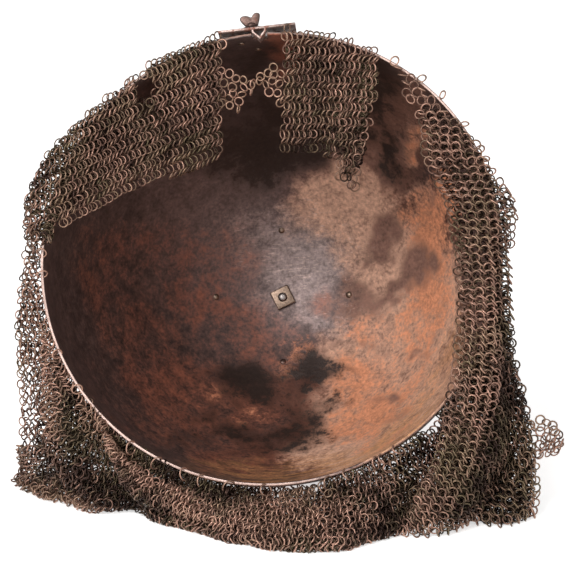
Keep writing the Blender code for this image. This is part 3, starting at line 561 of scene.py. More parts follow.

# ---- the bowl's stains, some of them also painted shadow and sheen
# Looking into the mouth: across to the right and up from the crown's middle, half
# length and half width (mm), turn anticlockwise (degrees), and strength.
Stain = namedtuple("Stain", "across up length width turn strength")
STAINS = {
    # haze: violet-brown oxide round the crown, partly a painted sheen of the key light
    "haze": [
        (-4.1, 17.4, 46.8, 40.3, 0, 0.7), (14.1, 20.8, 25.7, 20.8, -1, 0.55),
        (30.7, -1.5, 20.7, 18.7, -3, 0.45), (-33.2, 33.4, 28.8, 22.7, 4, 0.3),
    ],
    "russet": [
        (2, 99, 8, 5, 0, 0.85), (-40.2, 4.3, 23.8, 17, 5, 0.34), (-30, -61.9, 28, 19.3, 4, 0.55),
        (10.1, -55.1, 24.3, 23.8, 0, 0.7), (-56.4, -45.9, 22.4, 26.1, 7, 0.28),
        (-9.9, -16.4, 19.5, 13.2, 1, 0.32), (-63.4, 20.4, 19.2, 11.4, 9, 0.3),
        (21.3, -3.2, 6.9, 6, -2, 0.6), (-32.5, -17.6, 28.8, 20.2, 4, 0.26),
        (-80.3, -9.3, 11.1, 28.5, 13, 0.26), (-26.1, 22.2, 19.4, 14.1, 3, 0.24),
        (-13.8, -85.7, 23.1, 9.1, 3, 0.55),
    ],
    "tan": [
        (37.6, 45.1, 19.7, 15.6, -5, 0.9), (22.8, 43.7, 20.7, 12.4, -3, 0.62),
        (47.6, 15.8, 16.7, 18.8, -5, 0.72), (33.8, 28.1, 12.8, 11.1, -4, 0.62),
        (60.3, -21.3, 24.2, 28.9, -7, 0.92), (44.3, -61.7, 28.9, 26.8, -6, 0.95),
        (69.6, -0.3, 14.5, 28.4, -10, 0.95), (33.1, -81.5, 23.5, 12.7, 5, 0.9),
        (31.3, -30.9, 10.8, 10.3, -3, 0.7), (69.2, 30.1, 8.4, 16.1, -1, 0.75),
        (67.9, -53.9, 16.2, 18.1, -12, 0.9), (61.6, 65.4, 6.8, 7, -13, 0.55),
        (16.9, 36.2, 14.8, 10, -2, 0.35),
    ],
    "orange": [
        (75, 23.1, 8.1, 22.1, -8, 0.85), (69.7, -5.2, 10.6, 17.3, -9, 0.7),
        (59.2, -40.3, 19.3, 21.7, -7, 0.52), (35.1, -44.6, 12.7, 13.6, -3, 0.72),
        (32.4, -66.4, 14.3, 11, 8, 0.62), (48.6, -15.1, 12.7, 10, -5, 0.5),
        (48.3, -67, 15.4, 14.2, -7, 0.55), (62.1, 65.3, 4.4, 4.9, -13, 0.55),
        (64.9, 35.2, 9.7, 8.6, -10, 0.6), (-4.2, -59, 10.6, 8.5, 1, 0.18),
        (9.1, -27.4, 7.9, 5.1, 0, 0.31), (2.1, -37.8, 6.8, 4.2, 1, 0.31),
        (8.1, -62.1, 5.8, 4.8, 0, 0.31), (-20.5, -63.9, 9.4, 6.5, 3, 0.12),
        (-30.7, -53.9, 9.4, 7.4, 4, 0.14), (76, 47.5, 3.7, 7.9, -8, 0.4),
        (11.2, -74, 7.7, 4.4, 0, 0.25),
    ],
    "ochre": [
        (26.6, -89.2, 44.1, 5.5, 10, 0.9), (-4.9, -93.6, 29, 4.2, -4, 0.7),
        (62.5, -74.1, 24.1, 9.5, 43, 0.8), (80.7, -32.5, 6.5, 24.2, -23, 0.6),
    ],
    # umber: brown oxide blotches; those high on the right also paint the right flap's cast shadow
    "umber": [
        (48.5, 26.9, 7, 9.9, -11, 0.92), (44.7, 18, 4.9, 4.2, -5, 0.7), (66, 12, 8.6, 10.5, -25, 0.95),
        (56.6, 2.4, 6.1, 4.5, 14, 0.85), (54, 56, 13, 4.6, -28, 0.7), (70.5, 40.6, 3.9, 4.9, -12, 0.5),
        (44, -2.3, 7.9, 6.9, -4, 0.55), (33.1, -1.7, 10.9, 11.8, -3, 0.6),
        (50.7, -28, 3.4, 6.1, -5, 0.5), (43.4, -24.9, 3.9, 4.1, -4, 0.5),
        (55.5, -50.4, 3.4, 4.2, -6, 0.6), (65.3, -32.7, 2.9, 3.6, -8, 0.6),
        (72.3, -21.5, 3.6, 4.7, -29, 0.45), (35.3, -54.2, 4.3, 2.7, 25, 0.8),
        (57.7, 76.5, 11.7, 7.5, -15, 0.95), (43.4, 76.6, 10.4, 15.2, -1, 0.95),
        (69.2, 59.9, 4.9, 7.6, -15, 0.7), (52.1, 62.3, 6.5, 13.5, 3, 0.85),
        (44.9, -49.5, 4.4, 3.7, -4, 0.4), (57.7, -66, 4.6, 3.5, 28, 0.45),
        (31.1, -24.2, 4.9, 4.1, -2, 0.5),
    ],
    # soot: black scale; the patches high on the right and right of the left flap also paint the shadows the
    # flaps cast
    "soot": [
        (-11.5, 95.5, 9, 4, 0, 0.75), (46.4, 86.7, 8, 7.8, -9, 0.88), (39.6, 76.4, 9.7, 7.7, -8, 0.62),
        (51.6, 63.5, 4.2, 11.9, 3, 0.66), (54.5, 57, 12, 2.8, -31, 0.4),
        (68.3, 58, 2.9, 4.3, -14, 0.4), (-13.6, -44.4, 12, 9.4, 2, 0.8),
        (-23.4, -40.7, 8.6, 4.7, 3, 0.56), (17.3, -38.8, 12.8, 8.3, -7, 0.8),
        (9.8, -48.2, 11.6, 6.4, 22, 0.64), (27.6, -54.9, 8.7, 3.2, 29, 0.7),
        (12.2, -58.8, 7.8, 5.9, 0, 0.62), (10.9, -69.6, 12.7, 8.6, -9, 0.7),
        (-6.9, -74.2, 16.2, 4.9, -3, 0.66), (4.6, -61, 3.9, 7.5, 0, 0.56),
        (-26, -70.8, 10.2, 3.3, 4, 0.6), (-34.8, -60.6, 10.2, 4.3, 5, 0.5),
        (-3.6, -52.6, 4.8, 4.8, 1, 0.45), (-20.3, -66.6, 6.6, 3.2, 3, 0.5),
        (-70.4, 59.1, 53.3, 9.1, 13, 0.5), (-6.1, 71.5, 29, 15.6, 1, 0.78),
        (-21, 54.3, 9.6, 12.8, 3, 0.35), (-39.9, -76.6, 10.7, 2.8, 19, 0.45),
        (-11.8, -82.8, 12.1, 2.8, 2, 0.5),
    ],
    # steel: worn iron near the crown, partly a painted sheen where the key light is reflected
    "steel": [
        (15.1, 22.2, 20.8, 17, -1, 0.9), (6.4, 2.9, 19.7, 14.7, 0, 0.5),
        (28.4, -10.4, 14.8, 10, -2, 0.45), (-10.6, 27.7, 16.6, 12.1, 2, 0.35),
    ],
}


# Painted shade that darkens the mail's wire where its folds, valleys and gaps lie in shadow, and painted
# highlight that lightens it along lit ridges and edges, as seen from in front and VIEW_TILT above: across
# from the mouth's middle, and up.
VIEW_TILT = radians(18.0)
MAIL_PAINTED_SHADE = [
    (-102, -97, 18, 12, 0, 0.3), (-72, -104, 18, 9, -20, 0.35), (18, 48.5, 15, 4.5, 0, 0.45),
    (35, 38, 5, 6, 0, 0.55), (-45, -95, 24, 3.6, -30, 0.8), (-15, -104, 14, 3, -6, 0.5),
    (101.2, -75.8, 5, 23.4, -12, 0.8), (88.9, -108.1, 5.4, 13.5, -35, 0.75),
    (110.6, -86.6, 7.2, 27, 0, 0.5), (99, -105.9, 11.7, 13.5, 0, 0.55), (105.3, -18.6, 4, 45, 0, 0.45),
    (110.6, -54, 5.4, 18, 0, 0.4), (73.4, -70.6, 5.4, 15.3, -14, 0.85),
    (64.2, -93.1, 5.4, 15.3, -18, 0.85), (53.7, -114.5, 6.3, 11.7, -30, 0.8),
    (82.7, -5.1, 2.7, 40.5, 0, 0.35), (-90.1, -69.7, 3.1, 9, 0, 0.95), (-88, -83.6, 5.4, 9, 20, 0.6),
    (-71.9, -93.1, 9.9, 4, -38, 0.6), (-53.2, -108.1, 11.7, 4.5, -30, 0.55),
    (-95.2, -96.5, 20.7, 9, -12, 0.35), (-70.7, -108.1, 19.8, 6.3, -12, 0.45),
    (41.1, -108.1, 15.3, 13.5, 0, 0.3), (-49.2, -80.1, 27, 6.3, -30, 0.3),
    (-57.5, -114.5, 13.5, 4.5, 0, 0.45),
]
MAIL_PAINTED_LIGHT = [
    (80.4, -54, 3.6, 11.7, -4, 0.55), (76, -73.6, 4, 11.7, -10, 0.65),
    (67.2, -95.2, 4.5, 12.6, -16, 0.65), (55.4, -117.8, 5.4, 7.2, -26, 0.5),
    (-75.8, -75.8, 5.4, 18, 34, 0.5), (-62.2, -93.1, 5.4, 15.3, 48, 0.45),
    (-107.9, -31.9, 7.2, 45, 0, 0.5), (8.2, -116.6, 27, 8.1, 0, 0.45), (93.3, -31.9, 7.2, 27, 0, 0.35),
    (-31.3, -108.1, 22.5, 6.3, -14, 0.35), (-15.9, -114.5, 27, 7.2, -8, 0.3),
    (94.1, 49, 9, 13.5, 0, 0.2),
]

# Shares of the scabs and the pitting, beside the patches, in what breaks up the borders.
SCABS_IN_BORDER = 1.1
PITTING_IN_BORDER = 0.45
# How the stains' borders wander: size of the waves and how far they reach (mm).
STAIN_WANDER = ((22.0, 6.0), (9.0, 4.5), (4.5, 2.6))


def stain_strength(stains, across, up):
    """How strongly a kind of stain covers places seen into the mouth, 0 to 1."""
    clear = np.ones_like(across)
    for stain in map(Stain._make, stains):
        turn = radians(stain.turn)
        x = (across - stain.across * MM) * cos(turn) + (up - stain.up * MM) * sin(turn)
        y = (up - stain.up * MM) * cos(turn) - (across - stain.across * MM) * sin(turn)
        reach = np.sqrt((x / (stain.length * MM)) ** 2 + (y / (stain.width * MM)) ** 2)
        clear *= 1.0 - stain.strength * np.clip(1.5 - reach, 0.0, 1.0)
    return 1.0 - clear


def give_attribute(mesh, name, values):
    """Give each corner point of a mesh a value that materials can read."""
    made = mesh.attributes.new(name, "FLOAT", "POINT")
    made.data.foreach_set("value", np.asarray(values, np.float32))


def smooth_noise(points, size, seed):
    """Smooth noise from -1 to 1 at points, with features of a size in millimetres."""
    shift = Vector((seed * 17.3, seed * 5.1, seed * 9.7))
    scale = 1.0 / (size * MM)
    flat = np.asarray(points).reshape(-1, 3)
    values = [noise.noise(Vector(point) * scale + shift) for point in flat]
    return np.array(values).reshape(np.shape(points)[:-1])


def stain_skull(mesh):
    """Give the upright skull its stains, as attributes that its material reads; some of them paint shadow,
    sheen and highlight.
    """
    flat = np.empty(3 * len(mesh.vertices), np.float32)
    mesh.vertices.foreach_get("co", flat)
    places = flat.reshape(-1, 3).astype(float)
    angle = np.arctan2(places[:, 0], -places[:, 1])
    rim = SKULL_RADIUS * (1.0 + RIM_OVAL * np.cos(2 * (angle - ROLL - RIM_OVAL_ANGLE)))
    across_axis = np.hypot(places[:, 0], places[:, 1])
    shell = np.sqrt((across_axis / rim) ** 2 + (places[:, 2] / SKULL_DEPTH) ** 2)
    inside = shell < 1.0 - 0.5 * SKULL_WALL / SKULL_RADIUS
    across = places[:, 0] * cos(ROLL) + places[:, 1] * sin(ROLL)
    up = places[:, 0] * sin(ROLL) - places[:, 1] * cos(ROLL)
    for size, reach in STAIN_WANDER:
        across = across + reach * MM * smooth_noise(places, size, 41)
        up = up + reach * MM * smooth_noise(places, size, 57)
    for index, (kind, stains) in enumerate(STAINS.items()):
        inner = stain_strength(stains, across, up)
        outer = np.clip(0.35 + 0.9 * smooth_noise(places, 34.0, 3 + index), 0.0, 1.0)
        if kind in ("orange", "ochre"):
            outer *= 0.35             # fresh rust is scarce on the outside
        give_attribute(mesh, kind, np.where(inside, inner, outer))
    phi = np.degrees(angle - ROLL) % 360.0
    # how brightly the rim's edge shows round the mouth: partly real rubbed metal, partly a painted
    # highlight, brightest at the lower left where the key light catches it
    worn = np.interp(phi, [0, 30, 80, 110, 150, 185, 215, 300, 330, 360],
                     [0.5, 0.9, 0.8, 0.35, 0.45, 0.8, 1.0, 1.0, 0.6, 0.5])
    across_wall = (1.0 - across_axis / rim) * SKULL_RADIUS / SKULL_WALL
    worn = worn * (np.abs(across_wall - 0.5) < 0.42)
    give_attribute(mesh, "rim_wear", worn * np.clip(1.0 - places[:, 2] / (0.5 * MM), 0.0, 1.0))


# ---- materials
def skull_iron():
    """Raised iron sheet: dark oxide under patchy rust, rubbed to steel at the crown and rim, with painted
    shadows of the flaps, a painted sheen round the crown and a painted highlight on the rim's edge.

    Scaly rust is dull and slightly raised, the oxide keeps a low satin gleam, and the
    bare metal shines.
    """
    look = bpy.context.scene.helmet_skull
    material, tree, shader = new_material("raised_iron_rusted")
    inverse = LAY_DOWN.inverted()
    upright = add_node(tree, "Mapping", {
        "Vector": add_node(tree, "TexCoord", out="Object"), "Location": inverse.to_translation(),
        "Rotation": inverse.to_euler()})
    brushed = add_node(tree, "Mapping", {"Vector": upright, "Scale": (0.12, 0.12, 1.0)})
    scratched = add_node(tree, "Mapping", {
        "Vector": upright, "Rotation": (0.0, 0.0, radians(38.0)), "Scale": (0.09, 1.0, 1.0)})
    patches, scabs, pitting, lines, scratches = (
        add_node(tree, "TexNoise", {"Vector": place, "Scale": per_mm(size), "Detail": detail,
                                    "Roughness": roughness, "Distortion": distortion})
        for place, size, detail, roughness, distortion in (
            (upright, 26, 8.0, 0.68, 0.4),      # rust patches 14 mm wide
            (upright, 6, 6.0, 0.7, 0.3),        # scabs 4 mm wide
            (upright, 1.6, 3.0, 0.6, 0.0),      # pitting 1.2 mm wide
            (brushed, 1.8, 3.0, 0.6, 0.0),      # brush lines 1.5 mm wide
            (scratched, 1.1, 2.0, 0.5, 1.2)))   # scratches, 0.6 mm wide where real ones are 0.1

    # the three noises together, about nought, break up the borders of the stains
    ragged = patches
    for noise_value, share in ((scabs, SCABS_IN_BORDER), (pitting, PITTING_IN_BORDER)):
        ragged = add_node(tree, "Math", {0: noise_value, 1: share, 2: ragged}, operation="MULTIPLY_ADD")
    middle = 0.5 * (1.0 + SCABS_IN_BORDER + PITTING_IN_BORDER)
    ragged = add_node(tree, "Math", {0: ragged, 1: middle}, operation="SUBTRACT")
    stain = {name: add_node(tree, "Attribute", out="Fac", attribute_name=name)
             for name in (*STAINS, "rim_wear")}
    cover = {"haze": stain["haze"]}
    # how far the noises break up each stain's border, and how soft it is
    for name, spread, soft in (("russet", 1.7, 0.55), ("tan", 1.3, 0.50), ("orange", 2.2, 0.42),
                               ("umber", 1.0, 0.30), ("soot", 2.3, 0.38), ("steel", 1.2, 0.60)):
        broken = add_node(tree, "Math", {0: ragged, 1: spread, 2: stain[name]},
                          operation="MULTIPLY_ADD")
        mask = add_node(tree, "MapRange", {
            "Value": broken, "From Min": 0.5 - soft, "From Max": 0.5 + soft},
            interpolation_type="SMOOTHSTEP")
        near = add_node(tree, "Math", {0: stain[name], 1: 5.0}, operation="MULTIPLY", use_clamp=True)
        cover[name] = add_node(tree, "Math", {0: mask, 1: near}, operation="MULTIPLY")
    streaks = add_node(tree, "MapRange", {"Value": lines, "From Min": 0.38, "From Max": 0.6})
    cover["ochre"] = add_node(tree, "Math", {0: stain["ochre"], 1: streaks},
                              operation="MULTIPLY", use_clamp=True)
    # scratches catch the light on the steel, and the rim is rubbed bare between its scabs, with a painted
    # highlight where the key light catches its edge
    glint = add_node(tree, "MapRange", {
        "Value": scratches, "From Min": 0.56, "From Max": 0.70, "To Max": 0.75})
    glint = add_node(tree, "Math", {0: glint, 1: cover["steel"]}, operation="MULTIPLY")
    rubbed = add_node(tree, "Math", {0: scabs, 1: 0.5, 2: stain["rim_wear"]}, operation="MULTIPLY_ADD")
    rubbed = add_node(tree, "MapRange", {"Value": rubbed, "From Min": 0.70, "From Max": 1.05},
                      interpolation_type="SMOOTHSTEP")

    def painted(colour, mask, paint, share=1.0):
        """The colour with a paint over it where the mask is."""
        return add_node(tree, "Mix", {0: mask, 6: colour, 7: opaque(paint, share)}, out=2,
                        data_type="RGBA")

    colour = add_node(tree, "ValToRGB", {"Fac": scabs}, stops=[
        (0.30, opaque(look.patina, 0.62)), (0.70, opaque(look.patina, 1.35))])
    colour = painted(colour, stain["tan"], look.russet, 1.15)
    for name in ("haze", "steel", "russet", "tan", "orange", "ochre", "umber", "soot"):
        colour = painted(colour, cover[name], getattr(look, name))
    colour = painted(colour, glint, look.edge)
    # scabs and pitting darken and lighten the rust from grain to grain
    speckle = add_node(tree, "Math", {0: scabs, 1: 0.9, 2: pitting}, operation="MULTIPLY_ADD")
    grain = add_node(tree, "MapRange", {
        "Value": speckle, "From Min": 0.70, "From Max": 1.20, "To Min": 0.60, "To Max": 1.36})
    colour = add_node(tree, "VectorMath", {0: colour, "Scale": grain}, operation="SCALE")
    colour = painted(colour, rubbed, look.edge)

    scale = add_node(tree, "Math", {0: cover["tan"], 1: cover["orange"]}, operation="MAXIMUM")
    metallic, roughness, raised = (
        add_node(tree, "MapRange", {"Value": scale, "To Min": bare, "To Max": scaly})
        for bare, scaly in ((0.45, 0.08), (0.46, 0.68), (0.35, 1.0)))
    metallic = add_node(tree, "Math", {0: metallic, 1: rubbed}, operation="MAXIMUM")
    roughness = add_node(tree, "Math", {0: lines, 1: 0.10, 2: roughness}, operation="MULTIPLY_ADD")
    relief = add_node(tree, "Math", {0: scabs, 1: 0.6, 2: pitting}, operation="MULTIPLY_ADD")
    relief = add_node(tree, "Math", {0: relief, 1: raised}, operation="MULTIPLY")
    bump = add_node(tree, "Bump", {"Height": relief, "Strength": 0.6, "Distance": 0.5 * MM})
    plug(shader, {"Base Color": colour, "Metallic": metallic, "Roughness": roughness, "Normal": bump})
    return material


def mail_wire():
    """Drawn iron wire, oxidised brown, with some rings rubbed bright.

    Each ring has its own tone, so the weave sparkles unevenly from ring to ring; the tone also carries
    painted shade in the mail's folds and painted highlight on its lit ridges.
    """
    if "mail_wire_oxidised" in bpy.data.materials:
        return bpy.data.materials["mail_wire_oxidised"]
    look = bpy.context.scene.helmet_mail
    material, tree, shader = new_material("mail_wire_oxidised")
    tone, cast = (add_node(tree, "Attribute", out="Fac", attribute_name=name) for name in ("tone", "cast"))
    rust = add_node(tree, "TexNoise", {
        "Vector": add_node(tree, "TexCoord", out="Object"), "Scale": per_mm(1.5), "Detail": 3.0})
    mottled = add_node(tree, "Math", {0: rust, 1: 0.5, 2: tone}, operation="MULTIPLY_ADD", use_clamp=True)
    colour = opaque(look.dark)
    for mask, paint in ((mottled, look.light), (cast, look.olive)):
        colour = add_node(tree, "Mix", {0: mask, 6: colour, 7: opaque(paint)}, out=2, data_type="RGBA")
    roughness = add_node(tree, "MapRange", {"Value": rust, "To Min": 0.30, "To Max": 0.55})
    plug(shader, {"Base Color": colour, "Metallic": 0.72, "Roughness": roughness})
    return material


# Finishes of the fittings: the setting with their colour, how metallic they are, and
# how far rust has spread over them.
FINISHES = {
    "forged_iron_dark": ("iron", 0.75, 0.08),
    "bracket_iron_rubbed": ("bright", 0.6, 0.14),
    "steel_worn": ("steel", 0.9, -0.02),
    "steel_bolt_rubbed": ("bolt", 0.85, -0.06),
}


def fitting_iron(name):
    """Forged iron spotted with dull brown rust: satin between the spots."""
    if name in bpy.data.materials:
        return bpy.data.materials[name]
    setting, metallic, rust_share = FINISHES[name]
    colour = getattr(bpy.context.scene.helmet_fittings, setting)
    material, tree, shader = new_material(name)
    place = add_node(tree, "TexCoord", out="Object")
    spots = add_node(tree, "TexNoise", {
        "Vector": place, "Scale": per_mm(3.0), "Detail": 6.0, "Roughness": 0.7})
    grit = add_node(tree, "TexNoise", {"Vector": place, "Scale": per_mm(0.8), "Detail": 2.0})
    rusted = add_node(tree, "MapRange", {
        "Value": spots, "From Min": 0.62 - rust_share, "From Max": 0.74 - rust_share},
        interpolation_type="SMOOTHSTEP")
    base = add_node(tree, "ValToRGB", {"Fac": grit}, stops=[
        (0.35, opaque(colour, 0.75)), (0.65, opaque(colour, 1.25))])
    russet = opaque(bpy.context.scene.helmet_skull.russet, 0.8)
    mixed = add_node(tree, "Mix", {0: rusted, 6: base, 7: russet}, out=2, data_type="RGBA")
    shine, roughness = (add_node(tree, "MapRange", {"Value": rusted, "To Min": bare, "To Max": rusty})
                        for bare, rusty in ((metallic, 0.15), (0.38, 0.75)))
    bump = add_node(tree, "Bump", {"Height": spots, "Strength": 0.3, "Distance": 0.15 * MM})
    plug(shader, {"Base Color": mixed, "Metallic": shine, "Roughness": roughness, "Normal": bump})
    return material


# ---- mail surfaces
def curve(points, shares):
    """Points on a Catmull-Rom curve, at shares of its way from 0 to 1."""
    points = np.asarray(points, float)
    padded = np.concatenate([2 * points[:1] - points[1:2], points, 2 * points[-1:] - points[-2:-1]])
    place = np.clip(shares, 0.0, 1.0) * (len(points) - 1)
    index = np.minimum(place.astype(int), len(points) - 2)
    t = (place - index).reshape(-1, *[1] * (points.ndim - 1))
    before, first, second, after = (padded[index + step] for step in range(4))
    return 0.5 * (2 * first + (second - before) * t
                  + (2 * before - 5 * first + 4 * second - after) * t ** 2
                  + (3 * first - before - 3 * second + after) * t ** 3)


def surface(sections, columns, rows):
    """A fine grid of points through the sections: columns across them, rows along them."""
    crossed = curve(np.array(sections), np.linspace(0, 1, columns))
    return curve(crossed.swapaxes(0, 1), np.linspace(0, 1, rows)).swapaxes(0, 1)


def unit(vectors):
    """Vectors brought to a length of one."""
    return vectors / np.maximum(np.linalg.norm(vectors, axis=-1, keepdims=True), 1e-12)


def outward(grid, side=1.0):
    """Normals of a grid; side turns them over."""
    return side * unit(np.cross(np.gradient(grid, axis=0), np.gradient(grid, axis=1)))


def crumpled(grid, size, depth, seed, side=1.0):
    """A grid pushed in and out along its normals by smooth noise."""
    push = smooth_noise(grid, size, seed) * depth * MM
    return grid + outward(grid, side) * push[..., None]


def flap_section(row, count=10):
    """A front flap's way from outside the rim, over it and down."""
    start = rim_point(row.phi, row.out * MM, MAIL_OVER)
    over = rim_point(row.phi, min(-MAIL_HOOK, row.out * MM - MAIL_LAP), MAIL_OVER)
    drop = row.drop * MM
    half = over + Vector((0.35 * row.swing_x * MM, 0.6 * row.swing_y * MM, -0.5 * drop))
    hem = over + Vector((row.swing_x * MM, row.swing_y * MM, -drop))
    return curve([start, over, half, hem], np.linspace(0, 1, count))


def strap_section(row, y, count=4):
    """A strap's way straight down, at a depth."""
    top = RIM_CENTRE + Vector((row.x * MM, y, row.top * MM))
    bottom = RIM_CENTRE + Vector((row.x * MM, y, row.bottom * MM))
    return np.array([top.lerp(bottom, step / (count - 1)) for step in range(count)])


def drape_section(row, count=21):
    """The right curtain's way across at one height."""
    z = RIM_CENTRE.z + row.height * MM
    points = []
    for step in range(count):
        share = step / (count - 1)
        x = RIM_CENTRE.x + (row.left + (row.right - row.left) * share) * MM
        lift = (row.lift_left * (1 - share) * (1 - 2 * share) + 4 * row.lift_mid * share * (1 - share)
                - row.lift_right * share * (1 - 2 * share))
        place, depth, width = (np.interp(-row.height, [-h for h in VALLEY[0]], v) for v in VALLEY[1:])
        lift -= depth * exp(-((share - place) / width) ** 2)
        points.append((x, mouth_y(x, z) - lift * MM / cos(LEAN), z))
    return np.array(points)


def skirt_section(row, drops=8, folds=4, unders=5, lining=False):
    """The neck curtain's way down from the rim, round its fold and under."""
    gap = NECK_LINING_GAP if lining else np.interp(row.phi, *NECK_GAP) * MM
    start = rim_point(row.phi, gap, NECK_LINING_BACK if lining else SKIRT_BACK)
    foot = RIM_CENTRE + Vector((row.foot_x * MM, row.foot_y * MM, 0))
    end = RIM_CENTRE + Vector((row.end_x * MM, row.end_y * MM, 0))
    foot.z = end.z = MAIL_THICKNESS / 2
    heading = (foot - end).normalized()
    turn = foot - heading * MAIL_FOLD
    top = turn + Vector((0, 0, 2 * MAIL_FOLD))
    away = Vector((foot.x - RIM_CENTRE.x, foot.y - RIM_CENTRE.y - SKIRT_CENTRE, 0)).normalized()
    middle = start.lerp(top, 0.5) + away * (-NECK_LINING_SINK if lining else row.belly * MM)
    points = list(curve([start, middle, top], np.arange(drops) / drops))
    for step in range(folds + 1):
        angle = pi * step / folds
        points.append(turn + heading * MAIL_FOLD * sin(angle)
                      + Vector((0, 0, MAIL_FOLD * (1 + cos(angle)))))
    points += [turn.lerp(end, (step + 1) / unders) for step in range(unders)]
    return np.array([tuple(point) for point in points])


# ---- mail rings
Rings = namedtuple("Rings", "centre along out odd across_share down_share")
DRIFT = 1.1 * MM                  # neighbouring rings stray together this far
RING_SIZES = (0.94, 1.07)         # rings differ in size between these shares
PAINTED_LIGHT_LIGHTER = 0.45             # how much lighter than the rest painted highlight makes the wire
PAINTED_SHADE_DARKER = 0.85               # how much darker painted shade makes it
LINING_TURNS = 9                  # segments round a ring of the second layer
SINGLE_RING_TURNS = 20            # and round a ring that hangs alone
HUNG_WIRE = 1.05                  # single rings that hang free are of wire this much thicker
RIM_WIRE = 1.1                    # and those hooked through the rim


def pick(field, index):
    """Values of a per-column field at fractional column numbers."""
    columns = np.arange(len(field))
    return np.stack([np.interp(index, columns, field[:, axis]) for axis in range(3)], axis=1)


def woven(grid, weave, side=1.0, anchor=0.5, steady=True, first=0.5):
    """Set rings out on a sheet in rows from the grid's first edge.

    Rings keep their places from row to row when steady, and their spacing when not.
    """
    columns = len(grid)
    steps = np.linalg.norm(np.diff(grid, axis=1), axis=2)
    reach = np.concatenate([np.zeros((columns, 1)), np.cumsum(steps, axis=1)], axis=1)
    normals = outward(grid, side)
    pitch = weave.pitch * MM
    row_gap = weave.row_gap * MM
    levels = np.arange(first * row_gap, reach[:, -1].max(), row_gap)
    lines = np.empty((len(levels), columns, 3))
    facing = np.empty_like(lines)
    for column in range(columns):
        for axis in range(3):
            lines[:, column, axis] = np.interp(levels, reach[column], grid[column, :, axis])
            facing[:, column, axis] = np.interp(levels, reach[column], normals[column, :, axis])
    found = []
    base = None
    for number, (level, line, face) in enumerate(zip(levels, lines, facing)):
        lengths = np.linalg.norm(np.diff(line, axis=0), axis=1)
        walked = np.concatenate([[0.0], np.cumsum(lengths)])
        if base is None or not steady:
            base = walked - np.interp(anchor * (columns - 1), np.arange(columns), walked)
        offset = 0.5 * (number % 2)
        marks = pitch * (np.arange(ceil(base[0] / pitch) - 1, floor(base[-1] / pitch) + 2) + offset)
        marks = marks[(marks >= base[0]) & (marks <= base[-1])]
        index = np.interp(marks, base, np.arange(columns))
        held = (level <= reach[:, -1]).astype(float)
        on = np.interp(index, np.arange(columns), held) > 0.999
        index = index[on]
        total = np.interp(index, np.arange(columns), reach[:, -1])
        found.append((pick(line, index), pick(np.gradient(line, axis=0), index), pick(face, index),
                      np.full(len(index), number % 2), index / (columns - 1), level / total))
    centre, along, out, odd, *shares = (np.concatenate(items) for items in zip(*found))
    along = unit(along)
    out = unit(out - along * np.sum(out * along, axis=1, keepdims=True))
    return Rings(centre, along, out, odd, *shares)


def laid(grid, weave, slope, hem):
    """Set rings out in straight rows on a sheet seen from the front.

    The rows rise to the right by the slope, and the first stands on the hem, a point
    of the sheet's lower edge; rings off the sheet are left out.
    """
    along = np.array([cos(slope), 0.0, sin(slope)])
    across = np.array([-sin(slope), 0.0, cos(slope)])
    places = grid.reshape(-1, 3)
    normals = outward(grid).reshape(-1, 3)
    normals *= -np.sign(normals[:, 1:2])
    seen = np.stack([places @ along, places @ across], axis=1)
    start = np.array([hem @ along, hem @ across])
    row_gap = weave.row_gap * MM
    pitch = weave.pitch * MM
    lowest = floor((seen[:, 1].min() - start[1]) / row_gap)
    highest = ceil((seen[:, 1].max() - start[1]) / row_gap)
    found = []
    for number in range(lowest, highest + 1):
        level = start[1] + (number + 0.5) * row_gap
        first = floor((seen[:, 0].min() - start[0]) / pitch)
        last = ceil((seen[:, 0].max() - start[0]) / pitch)
        marks = start[0] + pitch * (np.arange(first, last) + 0.5 * (number % 2))
        apart = np.hypot(seen[None, :, 0] - marks[:, None], seen[None, :, 1] - level)
        nearest = apart.argmin(axis=1)
        on = apart[np.arange(len(marks)), nearest] < 0.75 * MM
        nearest = nearest[on]
        spot = along * marks[on][:, None] + across * level
        normal = normals[nearest]
        step = spot - places[nearest]
        slope_off = normal[:, 0] * step[:, 0] + normal[:, 2] * step[:, 2]
        spot[:, 1] = places[nearest, 1] - slope_off / normal[:, 1]
        found.append((spot, np.tile(along, (len(spot), 1)), normal, np.full(len(spot), number % 2),
                      np.zeros(len(spot)), np.zeros(len(spot))))
    centre, along, out, odd, *shares = (np.concatenate(items) for items in zip(*found))
    along = unit(along - out * np.sum(out * along, axis=1, keepdims=True))
    return Rings(centre, along, out, odd, *shares)


def chosen(rings, keep):
    """Only the rings to keep."""
    return Rings(*[field[keep] for field in rings])


def turned_by(vectors):
    """Rotation matrices for rotation vectors."""
    angle = np.linalg.norm(vectors, axis=1)[:, None, None]
    x, y, z = unit(vectors).T
    zero = np.zeros_like(x)
    cross = np.stack([np.stack([zero, -z, y], 1), np.stack([z, zero, -x], 1),
                      np.stack([-y, x, zero], 1)], 1)
    return np.eye(3) + np.sin(angle) * cross + (1 - np.cos(angle)) * (cross @ cross)


def as_seen(places):
    """Places as seen from in front and a little above: across and up."""
    apart = places - np.array(RIM_CENTRE)
    return apart[:, 0], apart[:, 2] * cos(VIEW_TILT) + apart[:, 1] * sin(VIEW_TILT)


def clear_of_spot(rings, across, up, width, height):
    """Which rings are outside an ellipse as seen from in front (mm)."""
    x, y = as_seen(rings.centre)
    return ((x / MM - across) / width) ** 2 + ((y / MM - up) / height) ** 2 > 1.0


